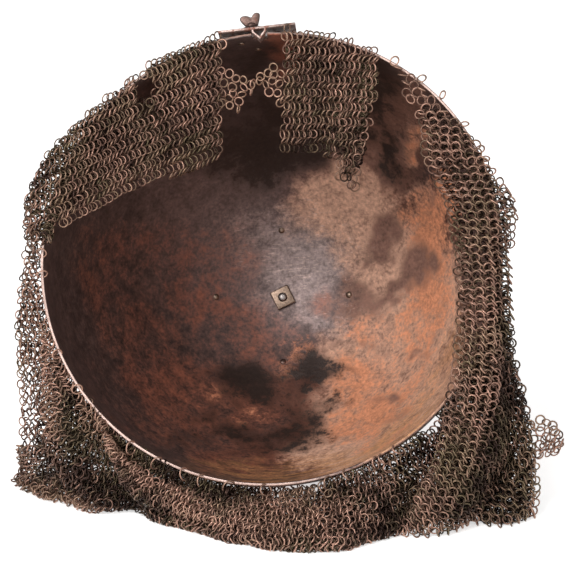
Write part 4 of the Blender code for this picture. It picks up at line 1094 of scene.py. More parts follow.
def leaned(rings, weave, rng, wander=0.0, seed=0):
    """Frames of woven rings: alternate rows lean opposite ways, each ring a little its own way."""
    even = rings.odd == 0
    lean = np.where(even, weave.lean, weave.counter)
    if wander:
        lean = lean + wander * smooth_noise(rings.centre, 16.0, seed)
    lean = np.radians(lean)[:, None]
    swing = np.radians(np.where(even, weave.swing, weave.counter_swing))[:, None]
    towards = rings.along * np.cos(swing) + np.cross(rings.out, rings.along) * np.sin(swing)
    first = towards * np.cos(lean) + rings.out * np.sin(lean)
    normal = rings.out * np.cos(lean) - towards * np.sin(lean)
    frames = np.stack([first, np.cross(normal, first), normal], axis=2)
    loose = rng.normal(0.0, radians(weave.jitter), (len(lean), 3))
    return turned_by(loose) @ frames


def ring_template(diameter, wire, turns, sides=4):
    """One ring of round wire lying in XY, as corners and faces."""
    bm = bmesh.new()
    bmesh.ops.create_circle(bm, cap_ends=False, segments=sides, radius=wire / 2)
    bmesh.ops.rotate(bm, cent=(0, 0, 0), matrix=Matrix.Rotation(pi / 2, 3, "X"), verts=bm.verts[:])
    bmesh.ops.translate(bm, vec=((diameter - wire) / 2, 0, 0), verts=bm.verts[:])
    bmesh.ops.spin(bm, geom=bm.verts[:] + bm.edges[:], cent=(0, 0, 0), axis=(0, 0, 1),
                   angle=2 * pi, steps=turns, use_merge=True)
    bmesh.ops.remove_doubles(bm, verts=bm.verts[:], dist=1e-6)
    bmesh.ops.recalc_face_normals(bm, faces=bm.faces[:])
    bm.verts.index_update()
    corners = np.array([vert.co[:] for vert in bm.verts])
    faces = np.array([[vert.index for vert in face.verts] for face in bm.faces])
    bm.free()
    return corners, faces


def joined_rings(name, batches):
    """One mesh of many rings; a batch is a template, frames, centres, tones and casts."""
    places, quads, tones, casts = [], [], [], []
    count = 0
    for (corners, faces), frames, centres, tone, cast in batches:
        made = np.einsum("nij,kj->nki", frames, corners) + centres[:, None, :]
        sunk = np.maximum(0.0, 0.1 * MM - made[:, :, 2].min(axis=1))
        made[:, :, 2] += sunk[:, None]
        starts = count + np.arange(len(frames)) * len(corners)
        quads.append((faces[None] + starts[:, None, None]).reshape(-1, 4))
        places.append(made.reshape(-1, 3))
        tones.append(np.repeat(tone, len(corners)))
        casts.append(np.repeat(cast, len(corners)))
        count += len(frames) * len(corners)
    places = np.concatenate(places)
    quads = np.concatenate(quads)
    mesh = bpy.data.meshes.new(name)
    mesh.vertices.add(len(places))
    mesh.vertices.foreach_set("co", places.astype(np.float32).ravel())
    mesh.loops.add(quads.size)
    mesh.loops.foreach_set("vertex_index", quads.astype(np.int32).ravel())
    mesh.polygons.add(len(quads))
    mesh.polygons.foreach_set("loop_start", np.arange(0, quads.size, 4, dtype=np.int32))
    mesh.update(calc_edges=True)
    mesh.validate()
    give_attribute(mesh, "tone", np.concatenate(tones))
    give_attribute(mesh, "cast", np.concatenate(casts))
    return mesh


def batch(rings, weave, rng, template, wander, seed, tone, olive=0.15, size=1.0):
    """Rings of one sheet ready to join: strayed, leaned, sized and toned."""
    count = len(rings.centre)
    frames = leaned(rings, weave, rng, wander, seed)
    frames = frames * size * rng.uniform(*RING_SIZES, (count, 1, 3))
    drift = [smooth_noise(rings.centre, 12.0, seed + 20 + axis) for axis in range(3)]
    centres = (rings.centre + DRIFT * np.stack(drift, axis=1)
               + rng.normal(0.0, weave.slack * MM, (count, 3)))
    seen = as_seen(rings.centre)
    # tones vary at random and smoothly, and also carry painted highlight on lit ridges and painted shade in
    # folds
    tones = np.clip(tone + 0.25 * smooth_noise(rings.centre, 30.0, seed + 50)
                    + PAINTED_LIGHT_LIGHTER * stain_strength(MAIL_PAINTED_LIGHT, *seen)
                    - PAINTED_SHADE_DARKER * stain_strength(MAIL_PAINTED_SHADE, *seen)
                    + rng.normal(0.0, 0.22, count), -0.6, 1.0)
    casts = np.clip(olive + 0.5 * smooth_noise(rings.centre, 22.0, seed + 90)
                    + rng.normal(0.0, 0.15, count), 0.0, 0.8)
    return template, frames, centres, tones, casts


def mail_ring(sides=4, turns=None):
    """The ring that the sheets are woven of."""
    look = bpy.context.scene.helmet_mail
    return ring_template(look.ring, look.wire, turns or look.turns, sides)


def ring_piece(name, slot, batches, nodes=()):
    """Finish a piece of mail from its batches of rings."""
    finish_piece(name, joined_rings(name, batches), mail_wire(), slot, nodes, sharp=None)


def sheet(node, rings, weave, rng, **look):
    """Finish the rings of a sheet of mail that stands for its CAD node."""
    ring_piece(node + "_rings", node, [batch(rings, weave, rng, mail_ring(), **look)], [node])


def lining(name, slot, grid, side, weave, rng, seed, keep, depth=2.6):
    """A second layer of rings behind a hanging sheet, which closes its gaps."""
    behind = grid - outward(grid, side) * depth * MM
    rings = woven(behind, weave, side=side, steady=False)
    rings = chosen(rings, keep(rings))
    # the lining's rings are toned darker than the sheet in front: painted shade for their place behind it
    ring_piece(name, slot, [batch(rings, weave, rng, mail_ring(3, LINING_TURNS), wander=16.0,
                                 seed=seed, tone=-0.3)])


def within_rim(rings, inset):
    """Which rings lie inside the rim's line by an inset (mm)."""
    apart = rings.centre - np.array(RIM_CENTRE)
    return np.hypot(apart[:, 0], apart[:, 2] / cos(LEAN)) < SKULL_RADIUS - inset * MM


def within_skull(rings, clearance):
    """Which rings lie inside the skull's outer face grown by a clearance (mm)."""
    upright = np.array(LAY_DOWN.inverted())
    places = rings.centre @ upright[:3, :3].T + upright[:3, 3]
    radius = np.hypot(places[:, 0], places[:, 1]) / (SKULL_RADIUS + clearance * MM)
    return np.hypot(radius, places[:, 2] / (SKULL_DEPTH + clearance * MM)) < 1.0


def clear_of(rings, x, height, radius):
    """Which rings are further than a radius from a place across and a height (mm)."""
    apart = np.hypot(rings.centre[:, 0] - RIM_CENTRE.x - x * MM,
                     rings.centre[:, 2] - RIM_CENTRE.z - height * MM)
    return apart > radius * MM


# ---- operators: hard pieces
class HELMET_OT_skull(bpy.types.Operator):
    """Raise the domed skull, notch its brow and stain it"""
    bl_idname = "helmet.skull"
    bl_label = "Skull"

    def execute(self, context):
        look = context.scene.helmet_skull
        walls = []
        for rim, depth in ((SKULL_RADIUS, SKULL_DEPTH),
                           (SKULL_RADIUS - SKULL_WALL, SKULL_DEPTH - SKULL_WALL)):
            turns = np.linspace(asin((BOLT_RADIUS + GAP) / rim), pi / 2, look.rows)
            walls.append([(rim * sin(turn), max(0.0, depth * cos(turn))) for turn in turns])
        outer, inner = walls
        bm = turned(outer + inner[::-1] + [outer[0]], look.steps)
        edge = [e for e in bm.edges if all(v.co.z < 1e-6 for v in e.verts)
                and abs(e.verts[0].co.xy.length - e.verts[1].co.xy.length) < 1e-6]
        rounded(bm, edge, look.rim_bevel, segments=3)
        bmesh.ops.scale(bm, vec=(1.0 + RIM_OVAL, 1.0 - RIM_OVAL, 1.0), verts=bm.verts[:])
        bmesh.ops.rotate(bm, cent=(0, 0, 0), verts=bm.verts[:],
                         matrix=Matrix.Rotation(RIM_OVAL_ANGLE + ROLL - pi / 2, 3, "Z"))
        for vert in bm.verts:
            fade = min(1.0, vert.co.z / FADE_AT_RIM) * min(1.0, vert.co.xy.length / FADE_AT_CROWN)
            push = (look.dents * noise.noise(vert.co / DENT_SIZE)
                    + look.hammering * noise.noise(vert.co / HAMMER_MARK_SIZE))
            vert.co += vert.co.normalized() * push * fade
        mesh = to_mesh(bm, "skull_shell")
        notch_size = (2 * (CHANNEL_HALF_WIDTH + GAP), NOTCH_DEPTH,
                      2 * (CHANNEL_LENGTH - BRACKET_PROUD + GAP))
        notch = block(notch_size, (CHANNEL_OFFSET, 0.0, 0.0), bevel=NOTCH_ROUNDING)
        mesh = carved(mesh, to_mesh(notch, "brow_notch", bracket_frame()))
        stain_skull(mesh)
        mesh.transform(LAY_DOWN)
        finish_piece("skull_shell", mesh, skull_iron(), "skull")
        return {"FINISHED"}


class HELMET_OT_crown_nut(bpy.types.Operator):
    """Make the square nut inside the crown"""
    bl_idname = "helmet.crown_nut"
    bl_label = "Crown nut"

    def execute(self, context):
        nut = block((NUT_SIDE, NUT_SIDE, NUT_THICKNESS), (0, 0, NUT_TOP - NUT_THICKNESS / 2),
                    bevel=0.35 * MM, segments=3)
        bore = to_mesh(rod(BOLT_RADIUS + GAP, 4 * NUT_THICKNESS, 32), "nut_bore",
                       Matrix.Translation((0, 0, NUT_TOP)))
        nut = carved(to_mesh(nut, "crown_nut_square"), bore)
        nut.transform(LAY_DOWN @ Matrix.Rotation(NUT_TWIST, 4, "Z"))
        finish_piece("crown_nut_square", nut, fitting_iron("steel_worn"), "crown_nut")
        profile = [(0.0, -0.25), (0.9, -0.22), (1.55, -0.08), (1.85, 0.2), (1.97, 0.6), (1.97, 0.9),
                   (0.0, 0.9)]
        cap = to_mesh(turned(in_mm(profile, NUT_FACE - BOLT_PROUD), 32), "bolt_end", LAY_DOWN)
        finish_piece("bolt_end", cap, fitting_iron("steel_bolt_rubbed"), "spike", ())
        return {"FINISHED"}


class HELMET_OT_crown_plate(bpy.types.Operator):
    """Make the four-lobed plate under the spike"""
    bl_idname = "helmet.crown_plate"
    bl_label = "Crown plate"

    def execute(self, context):
        hole = BOLT_RADIUS + GAP
        shares = (0.0, 0.2, 0.4, 0.6, 0.76, PLATE_GROOVE_AT, 0.90, 0.95, 1.0)
        bm = bmesh.new()
        bmesh.ops.create_circle(bm, cap_ends=False, segments=160, radius=hole)
        loop = bm.edges[:]
        rows = [bm.verts[:]]
        for _ in shares[1:]:
            grown = bmesh.ops.extrude_edge_only(bm, edges=loop)["geom"]
            loop = [item for item in grown if isinstance(item, bmesh.types.BMEdge)]
            rows.append([item for item in grown if isinstance(item, bmesh.types.BMVert)])
        for share, row in zip(shares, rows):
            groove = PLATE_GROOVE if share == PLATE_GROOVE_AT else 0.0
            for vert in row:
                direction = Vector((vert.co.x, vert.co.y, 0.0)).normalized()
                angle = Vector((0, -1)).angle_signed(Vector((direction.x, direction.y)))
                reach = hole + share * (plate_reach(-angle) - hole)
                vert.co = direction * reach
                vert.co.z = dome_height(reach) + PLATE_SEAT - groove
        bmesh.ops.recalc_face_normals(bm, faces=bm.faces[:])
        if sum(face.normal.z for face in bm.faces) < 0:
            bmesh.ops.reverse_faces(bm, faces=bm.faces[:])
        bmesh.ops.solidify(bm, geom=bm.faces[:], thickness=-PLATE_THICKNESS)
        mesh = to_mesh(bm, "crown_plate_lobed", LAY_DOWN)
        finish_piece("crown_plate_lobed", mesh, fitting_iron("forged_iron_dark"), "crown_plate")
        return {"FINISHED"}


class HELMET_OT_spike(bpy.types.Operator):
    """Forge the square spike on its collar, with the bolt through the crown"""
    bl_idname = "helmet.spike"
    bl_label = "Crown spike"

    def execute(self, context):
        foot = SKULL_DEPTH + PLATE_SEAT + PLATE_THICKNESS + GAP
        end = NUT_FACE - BOLT_PROUD
        bolt = BOLT_RADIUS / MM
        collar = in_mm([(0.0, 5.2), (5.4, 5.1), (7.4, 4.7), (8.6, 3.7), (9.0, 2.8), (8.8, 2.0), (8.2, 1.3),
                        (8.4, 0.7), (9.2, 0.5), (9.4, 0.2), (9.3, 0.0), (bolt, 0.0)], foot)
        collar += in_mm([(bolt, 0.7), (bolt - 0.25, 0.3), (bolt - 0.7, 0.08), (0.0, 0.0)], end)
        collar = to_mesh(turned(collar, context.scene.helmet_fittings.steps), "spike_forged")
        # the blade's half thickness (mm), and how far up the spike it has it
        blade = [(0.0, 1.0), (0.5, 0.998), (0.9, 0.985), (2.6, 0.81), (4.2, 0.62), (5.6, 0.43), (6.4, 0.30),
                 (6.8, 0.20), (6.8, 0.14), (6.2, 0.08), (5.2, 0.034), (0.0, 0.034)]
        bm = turned([(radius * MM, foot + share * SPIKE_HEIGHT) for radius, share in blade], 4)
        ridges = [e for e in bm.edges if abs(e.verts[0].co.z - e.verts[1].co.z) > 1e-5
                  and e.calc_length() > 1.2 * MM]
        blade = to_mesh(rounded(bm, ridges, size=0.35 * MM), "spike_blade",
                        Matrix.Rotation(pi / 4, 4, "Z"))
        mesh = carved(collar, blade, "UNION")
        mesh.transform(LAY_DOWN)
        finish_piece("spike_forged", mesh, fitting_iron("forged_iron_dark"), "spike")
        return {"FINISHED"}


def rivet(node, inside, outside, place, finish):
    """A rivet through a wall: low domed heads on the two faces."""
    dome = [(0.0, 1.0), (0.3, 0.96), (0.55, 0.84), (0.78, 0.62), (0.93, 0.34), (1.0, 0.0)]
    profile = [(x * RIVET_HEAD, outside + z * RIVET_HEAD_HEIGHT) for x, z in dome]
    profile += [(RIVET_SHANK, outside), (RIVET_SHANK, -inside)]
    profile += [(x * RIVET_HEAD, -inside - z * RIVET_HEAD_HEIGHT) for x, z in dome[::-1]]
    mesh = to_mesh(turned(profile, 24), node + "_domed", LAY_DOWN @ place)
    finish_piece(node + "_domed", mesh, fitting_iron(finish), node)


class HELMET_OT_rivets(bpy.types.Operator):
    """Set the crown's four rivets and the bracket's two"""
    bl_idname = "helmet.rivets"
    bl_label = "Rivets"

    def execute(self, context):
        inside = SKULL_WALL - RIVET_SINK
        outside = PLATE_SEAT + PLATE_THICKNESS - RIVET_SINK
        for index, place in enumerate(plate_rivet_places()):
            finish = "forged_iron_dark" if index == 2 else "steel_worn"
            rivet("crown_rivet_%d" % (index + 1), inside, outside, place, finish)
        frame_back = bracket_frame().inverted()
        for index, place in enumerate(bracket_rivet_places()):
            outside = (frame_back @ place.translation).y + BRACKET_THICKNESS - RIVET_SINK
            rivet("bracket_rivet_%d" % (index + 1), inside, outside, place, "steel_worn")
        return {"FINISHED"}


class HELMET_OT_nasal_bracket(bpy.types.Operator):
    """Make the plate and V-shaped guide that held the nasal bar"""
    bl_idname = "helmet.nasal_bracket"
    bl_label = "Nasal bracket"

    def execute(self, context):
        plate = to_mesh(block((BRACKET_WIDTH, BRACKET_THICKNESS, BRACKET_LENGTH),
                              (0, -BRACKET_THICKNESS / 2, BRACKET_LENGTH / 2 - BRACKET_PROUD),
                              bevel=0.3 * MM, segments=3), "nasal_bracket_plate", bracket_frame())
        overlap = 0.3 * MM
        shoulder = 1.2 * MM
        inner = CHANNEL_HALF_WIDTH - CHANNEL_WALL
        half = [(CHANNEL_HALF_WIDTH, shoulder), (CHANNEL_HALF_WIDTH, -overlap), (inner, -overlap),
                (inner, 0.8 * shoulder)]
        outline = [(0.0, CHANNEL_DEPTH), *half, (0.0, CHANNEL_DEPTH - 1.6 * CHANNEL_WALL),
                   *((-x, z) for x, z in half[::-1])]
        lay = (bracket_frame() @ Matrix.Translation((CHANNEL_OFFSET, 0, CHANNEL_LENGTH - BRACKET_PROUD))
               @ Matrix.Rotation(-pi / 2, 4, "X"))
        guide = to_mesh(pulled(outline, CHANNEL_LENGTH, bevel=0.18 * MM), "bracket_guide", lay)
        mesh = carved(plate, guide, "UNION")
        mesh = carved(mesh, to_mesh(rod(SCREW_SHANK + GAP, 8 * MM, 24), "screw_hole", screw_frame()))
        mesh.transform(LAY_DOWN)
        finish_piece("nasal_bracket_plate", mesh, fitting_iron("bracket_iron_rubbed"), "nasal_bracket")
        return {"FINISHED"}


class HELMET_OT_screw_washer(bpy.types.Operator):
    """Turn the lens-shaped washer under the thumb screw"""
    bl_idname = "helmet.screw_washer"
    bl_label = "Screw washer"

    def execute(self, context):
        hole = SCREW_SHANK + GAP
        base = BRACKET_THICKNESS + GAP
        top = base + WASHER_THICKNESS
        profile = [(hole, top), (0.6 * WASHER_RADIUS, top - 0.12 * MM)]
        profile += [(share * WASHER_RADIUS, base + height * MM)
                    for share, height in ((0.85, 0.55), (0.97, 0.3), (1.0, 0.12), (0.98, 0.0))]
        profile += [(hole, base), (hole, top)]
        bm = turned(profile, context.scene.helmet_fittings.steps)
        mesh = to_mesh(bm, "screw_washer_lens", LAY_DOWN @ screw_frame())
        finish_piece("screw_washer_lens", mesh, fitting_iron("forged_iron_dark"), "screw_washer")
        return {"FINISHED"}


class HELMET_OT_thumb_screw(bpy.types.Operator):
    """Make the heart-shaped thumb screw"""
    bl_idname = "helmet.thumb_screw"
    bl_label = "Thumb screw"

    def execute(self, context):
        seat = BRACKET_THICKNESS + GAP + WASHER_THICKNESS + GAP
        shank = in_mm([(0.0, 1.7), (1.4, 1.6), (2.1, 1.2), (2.6, 0.4), (2.6, 0.0)], seat)
        shank += [(SCREW_SHANK, seat), (SCREW_SHANK, -SCREW_REACH + 0.4 * MM),
                  (SCREW_SHANK - 0.4 * MM, -SCREW_REACH), (0.0, -SCREW_REACH)]
        post = to_mesh(turned(shank, context.scene.helmet_fittings.steps), "thumb_screw_heart")
        heart = [(-2.7, 0.2), (-4.2, 2.0), (-4.9, 3.4), (-4.85, 4.1), (-4.3, 4.7), (-3.6, 5.05),
                 (-2.9, 5.1), (-2.0, 5.05), (-1.1, 4.8), (-0.3, 4.3), (0.4, 4.1), (0.8, 4.6), (1.2, 5.2),
                 (1.7, 5.7), (2.3, 6.0), (3.2, 6.0), (4.0, 5.7), (4.4, 5.2), (4.4, 4.4), (3.9, 2.4),
                 (3.1, 0.2)]
        wing = pulled(in_mm(heart, seat), WING_THICKNESS, bevel=0.5 * MM, segments=3)
        wing = to_mesh(wing, "screw_wing", Matrix.Translation((0, -WING_THICKNESS / 2, 0)))
        mesh = carved(post, wing, "UNION")
        mesh.transform(LAY_DOWN @ screw_frame())
        finish_piece("thumb_screw_heart", mesh, fitting_iron("forged_iron_dark"), "thumb_screw",
                     body="screw")
        return {"FINISHED"}


# ---- operators: mail
class HELMET_OT_front_flaps(bpy.types.Operator):
    """Hang the two short flaps of mail that fall inside the mouth"""
    bl_idname = "helmet.front_flaps"
    bl_label = "Front mail flaps"

    def execute(self, context):
        rng = np.random.default_rng(11)
        grid = surface([flap_section(row) for row in FRONT_LEFT], columns=240, rows=90)
        grid = crumpled(grid, size=19.0, depth=0.7, seed=1)
        rings = laid(grid, FLAP_WEAVE, LEFT_HEM_SLOPE, grid[LEFT_HEM_COLUMN, -1])
        rings = chosen(rings, clear_of(rings, *LEFT_TEARS[0]) & clear_of(rings, *LEFT_TEARS[1]))
        sheet("mail_front_left", rings, FLAP_WEAVE, rng, wander=9.0, seed=2, tone=0.20)
        lining("mail_front_left_lining", "mail_front_left", grid, 1.0, FILL_WEAVE, rng, 21,
               lambda rings: clear_of(rings, *LEFT_LINING_TEAR) & (rings.down_share < 0.88)
               & ((rings.across_share < 0.72) | ~within_rim(rings, -1.0)))
        lining("mail_front_left_edge", "mail_front_left", grid, 1.0, EDGE_WEAVE, rng, 24,
               lambda rings: (rings.across_share > 0.45) & ~within_rim(rings, 3.5), depth=1.0)
        grid = surface([flap_section(row) for row in FRONT_RIGHT], columns=120, rows=90)
        grid = crumpled(grid, size=17.0, depth=0.7, seed=3)
        rings = laid(grid, RIGHT_FLAP_WEAVE, RIGHT_HEM_SLOPE, grid[RIGHT_HEM_COLUMN, -1])
        sheet("mail_front_right", rings, RIGHT_FLAP_WEAVE, rng, wander=9.0, seed=4, tone=0.24)
        lining("mail_front_right_lining", "mail_front_right", grid, -1.0, FILL_WEAVE, rng, 22,
               lambda rings: within_rim(rings, 5.0) & (rings.down_share < 0.9))
        return {"FINISHED"}


def hung_rings(rows, wire, rng, light):
    """Batches of single rings that hang in the front plane."""
    front_y = rim_point(0.0).y - MAIL_HOOK
    batches = []
    for row in rows:
        turn = (Matrix.Rotation(radians(row.turn), 3, "Z")
                @ Matrix.Rotation(pi / 2 + radians(row.nod), 3, "X"))
        centre = np.array([(RIM_CENTRE.x + row.x * MM, front_y, RIM_CENTRE.z + row.height * MM)])
        centre[0, 1] += rng.uniform(-0.6, 0.6) * MM
        template = ring_template(row.diameter * MM, wire, SINGLE_RING_TURNS)
        batches.append((template, np.array([turn]), centre, rng.uniform(*light, 1),
                        rng.uniform(0.0, 0.5, 1)))
    return batches


class HELMET_OT_front_strap(bpy.types.Operator):
    """Link the loose strap of rings between the front flaps"""
    bl_idname = "helmet.front_strap"
    bl_label = "Front mail strap"

    def execute(self, context):
        wire = context.scene.helmet_mail.wire * HUNG_WIRE
        ring_piece("mail_front_strap_rings", "mail_front_strap",
                   hung_rings(STRAP_RINGS, wire, np.random.default_rng(12), light=(0.45, 0.85)),
                   ["mail_front_strap"])
        return {"FINISHED"}


class HELMET_OT_right_curtain(bpy.types.Operator):
    """Lay the long curtain over the right of the rim, with its torn corner"""
    bl_idname = "helmet.right_curtain"
    bl_label = "Right mail curtain"

    def execute(self, context):
        rng = np.random.default_rng(13)
        torn_above = RIM_CENTRE.z + CURTAIN_TORN_ABOVE
        grid = surface([drape_section(row) for row in RIGHT_CURTAIN], columns=240, rows=60)
        grid = crumpled(grid, size=21.0, depth=0.9, seed=6)
        rings = woven(grid, CURTAIN_WEAVE, anchor=0.4)
        torn = rings.centre[:, 2] > torn_above
        rings = chosen(rings, ~torn | (rng.random(len(torn)) < CURTAIN_KEPT))
        sheet("mail_right_curtain", rings, CURTAIN_WEAVE, rng, wander=10.0, seed=7, tone=0.32,
              size=1.07)
        lining("mail_right_lining_rings", "mail_right_curtain", grid, 1.0, FILL_WEAVE, rng, 8,
               lambda rings: (rings.down_share > 0.08) & (rings.centre[:, 2] < torn_above))
        lining("mail_right_foot_lining", "mail_right_curtain", grid, 1.0, EDGE_WEAVE, rng, 25,
               lambda rings: (rings.down_share > 0.55) & (rings.centre[:, 2] < RIM_CENTRE.z - 15 * MM),
               depth=4.4)
        behind = mouth_y(*TATTER_PLACE) + TATTER_BEHIND - RIM_CENTRE.y
        grid = surface([strap_section(row, behind) for row in TATTER], columns=40, rows=30)
        rings = woven(grid, TATTER_WEAVE, side=-1.0)
        sheet("mail_tatter", rings, TATTER_WEAVE, rng, wander=20.0, seed=9, tone=0.35)
        return {"FINISHED"}


def neck_cover(rings, edge):
    """Which rings of the neck curtain hang below the thin strip beside it, or within an edge."""
    across, up = as_seen(rings.centre)
    return (across > edge * MM) | (up < STRIP_FOOT)


class HELMET_OT_neck_curtain(bpy.types.Operator):
    """Hang the neck curtain and tuck its end under the skull"""
    bl_idname = "helmet.neck_curtain"
    bl_label = "Neck mail curtain"

    def execute(self, context):
        rng = np.random.default_rng(14)
        grids = []
        for is_lining in (False, True):
            sections = [skirt_section(row, lining=is_lining) for row in NECK_CURTAIN[::-1]]
            grid = surface(sections, columns=260, rows=110)
            grids.append(crumpled(grid, size=15.0, depth=1.1, seed=10, side=-1.0))
        rings = woven(grids[0], NECK_WEAVE, side=-1.0, anchor=0.45, steady=False)
        hanging = rings.down_share < NECK_HANGS
        worn = ~clear_of_spot(rings, *NECK_THIN) & (rng.random(len(hanging)) < NECK_THINNED)
        front = chosen(rings, hanging & ~worn & neck_cover(rings, -103.0))
        template, *looks = batch(front, NECK_WEAVE, rng, mail_ring(), wander=16.0, seed=11,
                                 tone=0.36, olive=0.05)
        left = front.centre[:, 0] < RIM_CENTRE.x - NECK_SPLIT
        for name, half, nodes in (("mail_neck_curtain_rings", ~left, ["mail_neck_curtain"]),
                                  ("mail_neck_left_rings", left, [])):
            ring_piece(name, "mail_neck_curtain", [(template, *(look[half] for look in looks))], nodes)
        tucked = chosen(rings, ~hanging)
        ring_piece("mail_neck_tucked_rings", "mail_neck_curtain",
                   [batch(tucked, NECK_WEAVE, rng, mail_ring(3), wander=16.0, seed=12, tone=0.3)])
        lining("mail_neck_lining", "mail_neck_curtain", grids[1], -1.0, NECK_FILL_WEAVE, rng, 23,
               lambda rings: (rings.down_share < 0.5) & neck_cover(rings, -97.0)
               & clear_of_spot(rings, *NECK_LINING_HOLES[0])
               & clear_of_spot(rings, *NECK_LINING_HOLES[1]), depth=0.4)
        return {"FINISHED"}


def on_strip(rings):
    """Which rings of the side strip lie between its straps' ends and clear of the skull."""
    x, z = ((rings.centre[:, axis] - RIM_CENTRE[axis]) / MM for axis in (0, 2))
    across, tops, bottoms = zip(*SIDE_STRIP)
    return ((z < np.interp(x, across, tops)) & (z > np.interp(x, across, bottoms))
            & ~within_skull(rings, SKULL_CLEARANCE))


class HELMET_OT_side_strip(bpy.types.Operator):
    """Hang the thin strip outside the left of the rim"""
    bl_idname = "helmet.side_strip"
    bl_label = "Side mail strip"

    def execute(self, context):
        rng = np.random.default_rng(15)
        sections = [strap_section(Strap(row.x, STRIP_TOP, STRIP_BOTTOM), STRIP_BEHIND)
                    for row in SIDE_STRIP]
        grid = surface(sections, columns=90, rows=160)
        grid = crumpled(grid, size=17.0, depth=1.2, seed=13, side=-1.0)
        rings = woven(grid, STRIP_WEAVE, side=-1.0)
        rings = chosen(rings, on_strip(rings))
        sheet("mail_side_strip", rings, STRIP_WEAVE, rng, wander=10.0, seed=14, tone=0.16, olive=0.1)
        lining("mail_side_strip_lining", "mail_side_strip", grid, -1.0, FILL_WEAVE, rng, 26,
               lambda rings: on_strip(rings) & ((rings.across_share > 0.44)
                                                | (rings.centre[:, 2] > RIM_CENTRE.z - 52 * MM)),
               depth=3.0)
        return {"FINISHED"}


class HELMET_OT_loose_rings(bpy.types.Operator):
    """Hook the single rings through the rim and hang the loose ones"""
    bl_idname = "helmet.loose_rings"
    bl_label = "Loose rings"

    def execute(self, context):
        rng = np.random.default_rng(16)
        wire = context.scene.helmet_mail.wire
        batches = []
        lay = LAY_DOWN.to_3x3()
        ahead = lay @ Vector((0, 0, -1))
        for row in RIM_RINGS:
            angle = radians(row.phi) + ROLL
            radial = lay @ Vector((sin(angle), -cos(angle), 0))
            swing = Matrix.Rotation(radians(row.swing), 3, ahead)
            first = swing @ radial
            second = swing @ (Matrix.Rotation(radians(row.turn), 3, radial) @ ahead)
            frames = np.array([Matrix((first, second, first.cross(second))).transposed()])
            centre = np.array([rim_point(row.phi, row.out * MM, row.forward * MM)])
            template = ring_template(row.diameter * MM, wire * RIM_WIRE, SINGLE_RING_TURNS)
            batches.append((template, frames, centre, rng.uniform(0.45, 0.75, 1),
                            rng.uniform(0.0, 0.25, 1)))
        batches += hung_rings(HANGING_RINGS, wire * HUNG_WIRE, rng, light=(0.4, 0.7))
        ring_piece("loose_rings", "mail_neck_curtain", batches)
        return {"FINISHED"}


# ---- stage
def table_paint(look):
    """Matt pale table, lit a little from below but for the shade under the helmet."""
    material, tree, shader = new_material("table_matt_paint")
    place = add_node(tree, "TexCoord", out="Object")
    grain = add_node(tree, "TexNoise", {"Vector": place, "Scale": per_mm(60), "Detail": 2.0})
    colour = add_node(tree, "ValToRGB", {"Fac": grain}, stops=[
        (0.3, opaque(look.floor, 0.985)), (0.7, opaque(look.floor))])
    offset = add_node(tree, "Mapping", {
        "Vector": place, "Location": (0.024, 0.010, 0.0), "Scale": (0.8, 1.0, 1.0)})
    away = add_node(tree, "VectorMath", {0: offset}, out="Value", operation="LENGTH")
    glow = add_node(tree, "MapRange", {
        "Value": away, "From Min": 0.048, "From Max": 0.066, "To Max": look.glow},
        interpolation_type="SMOOTHSTEP")
    plug(shader, {"Base Color": colour, "Roughness": 0.9, "Specular IOR Level": 0.1,
                  "Emission Color": (1.0, 1.0, 1.0, 1.0), "Emission Strength": glow})
    return material


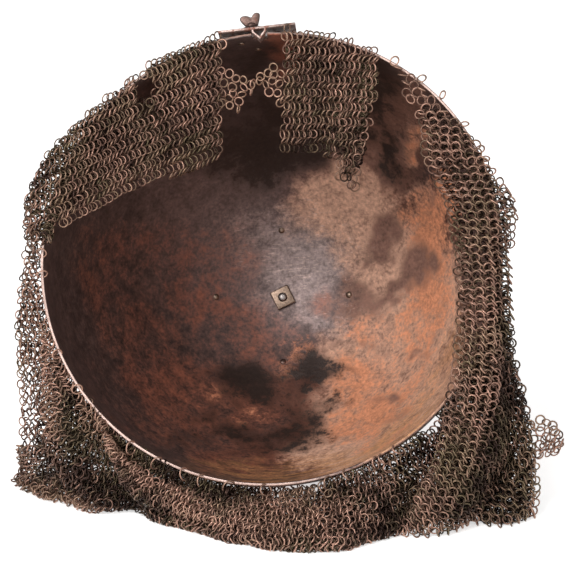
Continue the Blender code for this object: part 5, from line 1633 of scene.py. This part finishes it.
class HELMET_OT_stage(bpy.types.Operator):
    """Set the floor, the soft lights and the camera"""
    bl_idname = "helmet.stage"
    bl_label = "Stage"

    def execute(self, context):
        look = context.scene.helmet_stage
        bm = bmesh.new()
        bmesh.ops.create_grid(bm, x_segments=8, y_segments=8, size=4.0)
        floor_mesh = to_mesh(bm, "floor")
        floor_mesh.materials.append(table_paint(look))
        put("floor", floor_mesh)

        world = bpy.data.worlds.new("soft_room")
        world.use_nodes = True
        plug(world.node_tree.nodes["Background"], {"Color": (0.96, 0.98, 1.0, 1.0), "Strength": look.fill})
        context.scene.world = world

        for name, azimuth, elevation, distance, size, power in (
                ("key_light", -32.0, 42.0, 1.3, 0.75, look.key_power),
                ("front_fill", 25.0, 22.0, 1.8, 1.2, look.key_power * 0.28)):
            light = bpy.data.lights.new(name, "AREA")
            light.energy = power
            light.size = size
            lamp = put(name, light)
            azimuth, elevation = radians(azimuth), radians(elevation)
            back = Vector((sin(azimuth) * cos(elevation), -cos(azimuth) * cos(elevation),
                           sin(elevation)))
            lamp.location = RIM_CENTRE + back * distance
            lamp.rotation_euler = (-back).to_track_quat("-Z", "Y").to_euler()

        view = bpy.data.cameras.new("camera")
        view.lens = look.lens
        view.clip_start = 0.05
        camera = put("camera", view)
        back = Vector((0, cos(look.elevation), -sin(look.elevation))) * look.distance
        camera.location = RIM_CENTRE + AIM_OFFSET - back
        camera.rotation_euler = (pi / 2 - look.elevation, 0, 0)
        context.scene.camera = camera
        context.scene.view_settings.view_transform = "Standard"
        return {"FINISHED"}


class VIEW3D_PT_helmet(bpy.types.Panel):
    """The helmet's pieces, in the order in which they are made"""
    bl_label = "Kulah khud"
    bl_idname = "VIEW3D_PT_helmet"
    bl_space_type = "VIEW_3D"
    bl_region_type = "UI"
    bl_category = "Helmet"

    def draw(self, context):
        for group in ("helmet_skull", "helmet_mail", "helmet_fittings", "helmet_stage"):
            settings = getattr(context.scene, group)
            box = self.layout.box()
            for name in settings.__annotations__:
                box.prop(settings, name)
        for operator in OPERATORS:
            self.layout.operator(operator.bl_idname)


SETTINGS = {
    "helmet_skull": HelmetSkullSettings,
    "helmet_mail": HelmetMailSettings,
    "helmet_fittings": HelmetFittingSettings,
    "helmet_stage": HelmetStageSettings,
}
OPERATORS = [
    HELMET_OT_stage,
    HELMET_OT_skull,
    HELMET_OT_crown_nut,
    HELMET_OT_crown_plate,
    HELMET_OT_spike,
    HELMET_OT_rivets,
    HELMET_OT_nasal_bracket,
    HELMET_OT_screw_washer,
    HELMET_OT_thumb_screw,
    HELMET_OT_front_flaps,
    HELMET_OT_front_strap,
    HELMET_OT_right_curtain,
    HELMET_OT_neck_curtain,
    HELMET_OT_side_strip,
    HELMET_OT_loose_rings,
]


def register():
    for kind in [*SETTINGS.values(), *OPERATORS, VIEW3D_PT_helmet]:
        bpy.utils.register_class(kind)
    for name, group in SETTINGS.items():
        setattr(bpy.types.Scene, name, PointerProperty(type=group))


def unregister():
    for name in SETTINGS:
        delattr(bpy.types.Scene, name)
    for kind in [VIEW3D_PT_helmet, *reversed(OPERATORS), *SETTINGS.values()]:
        bpy.utils.unregister_class(kind)


def main():
    """Build every piece in order."""
    register()
    for operator in OPERATORS:
        family, name = operator.bl_idname.split(".")
        getattr(getattr(bpy.ops, family), name)()


if __name__ == "__main__":
    main()
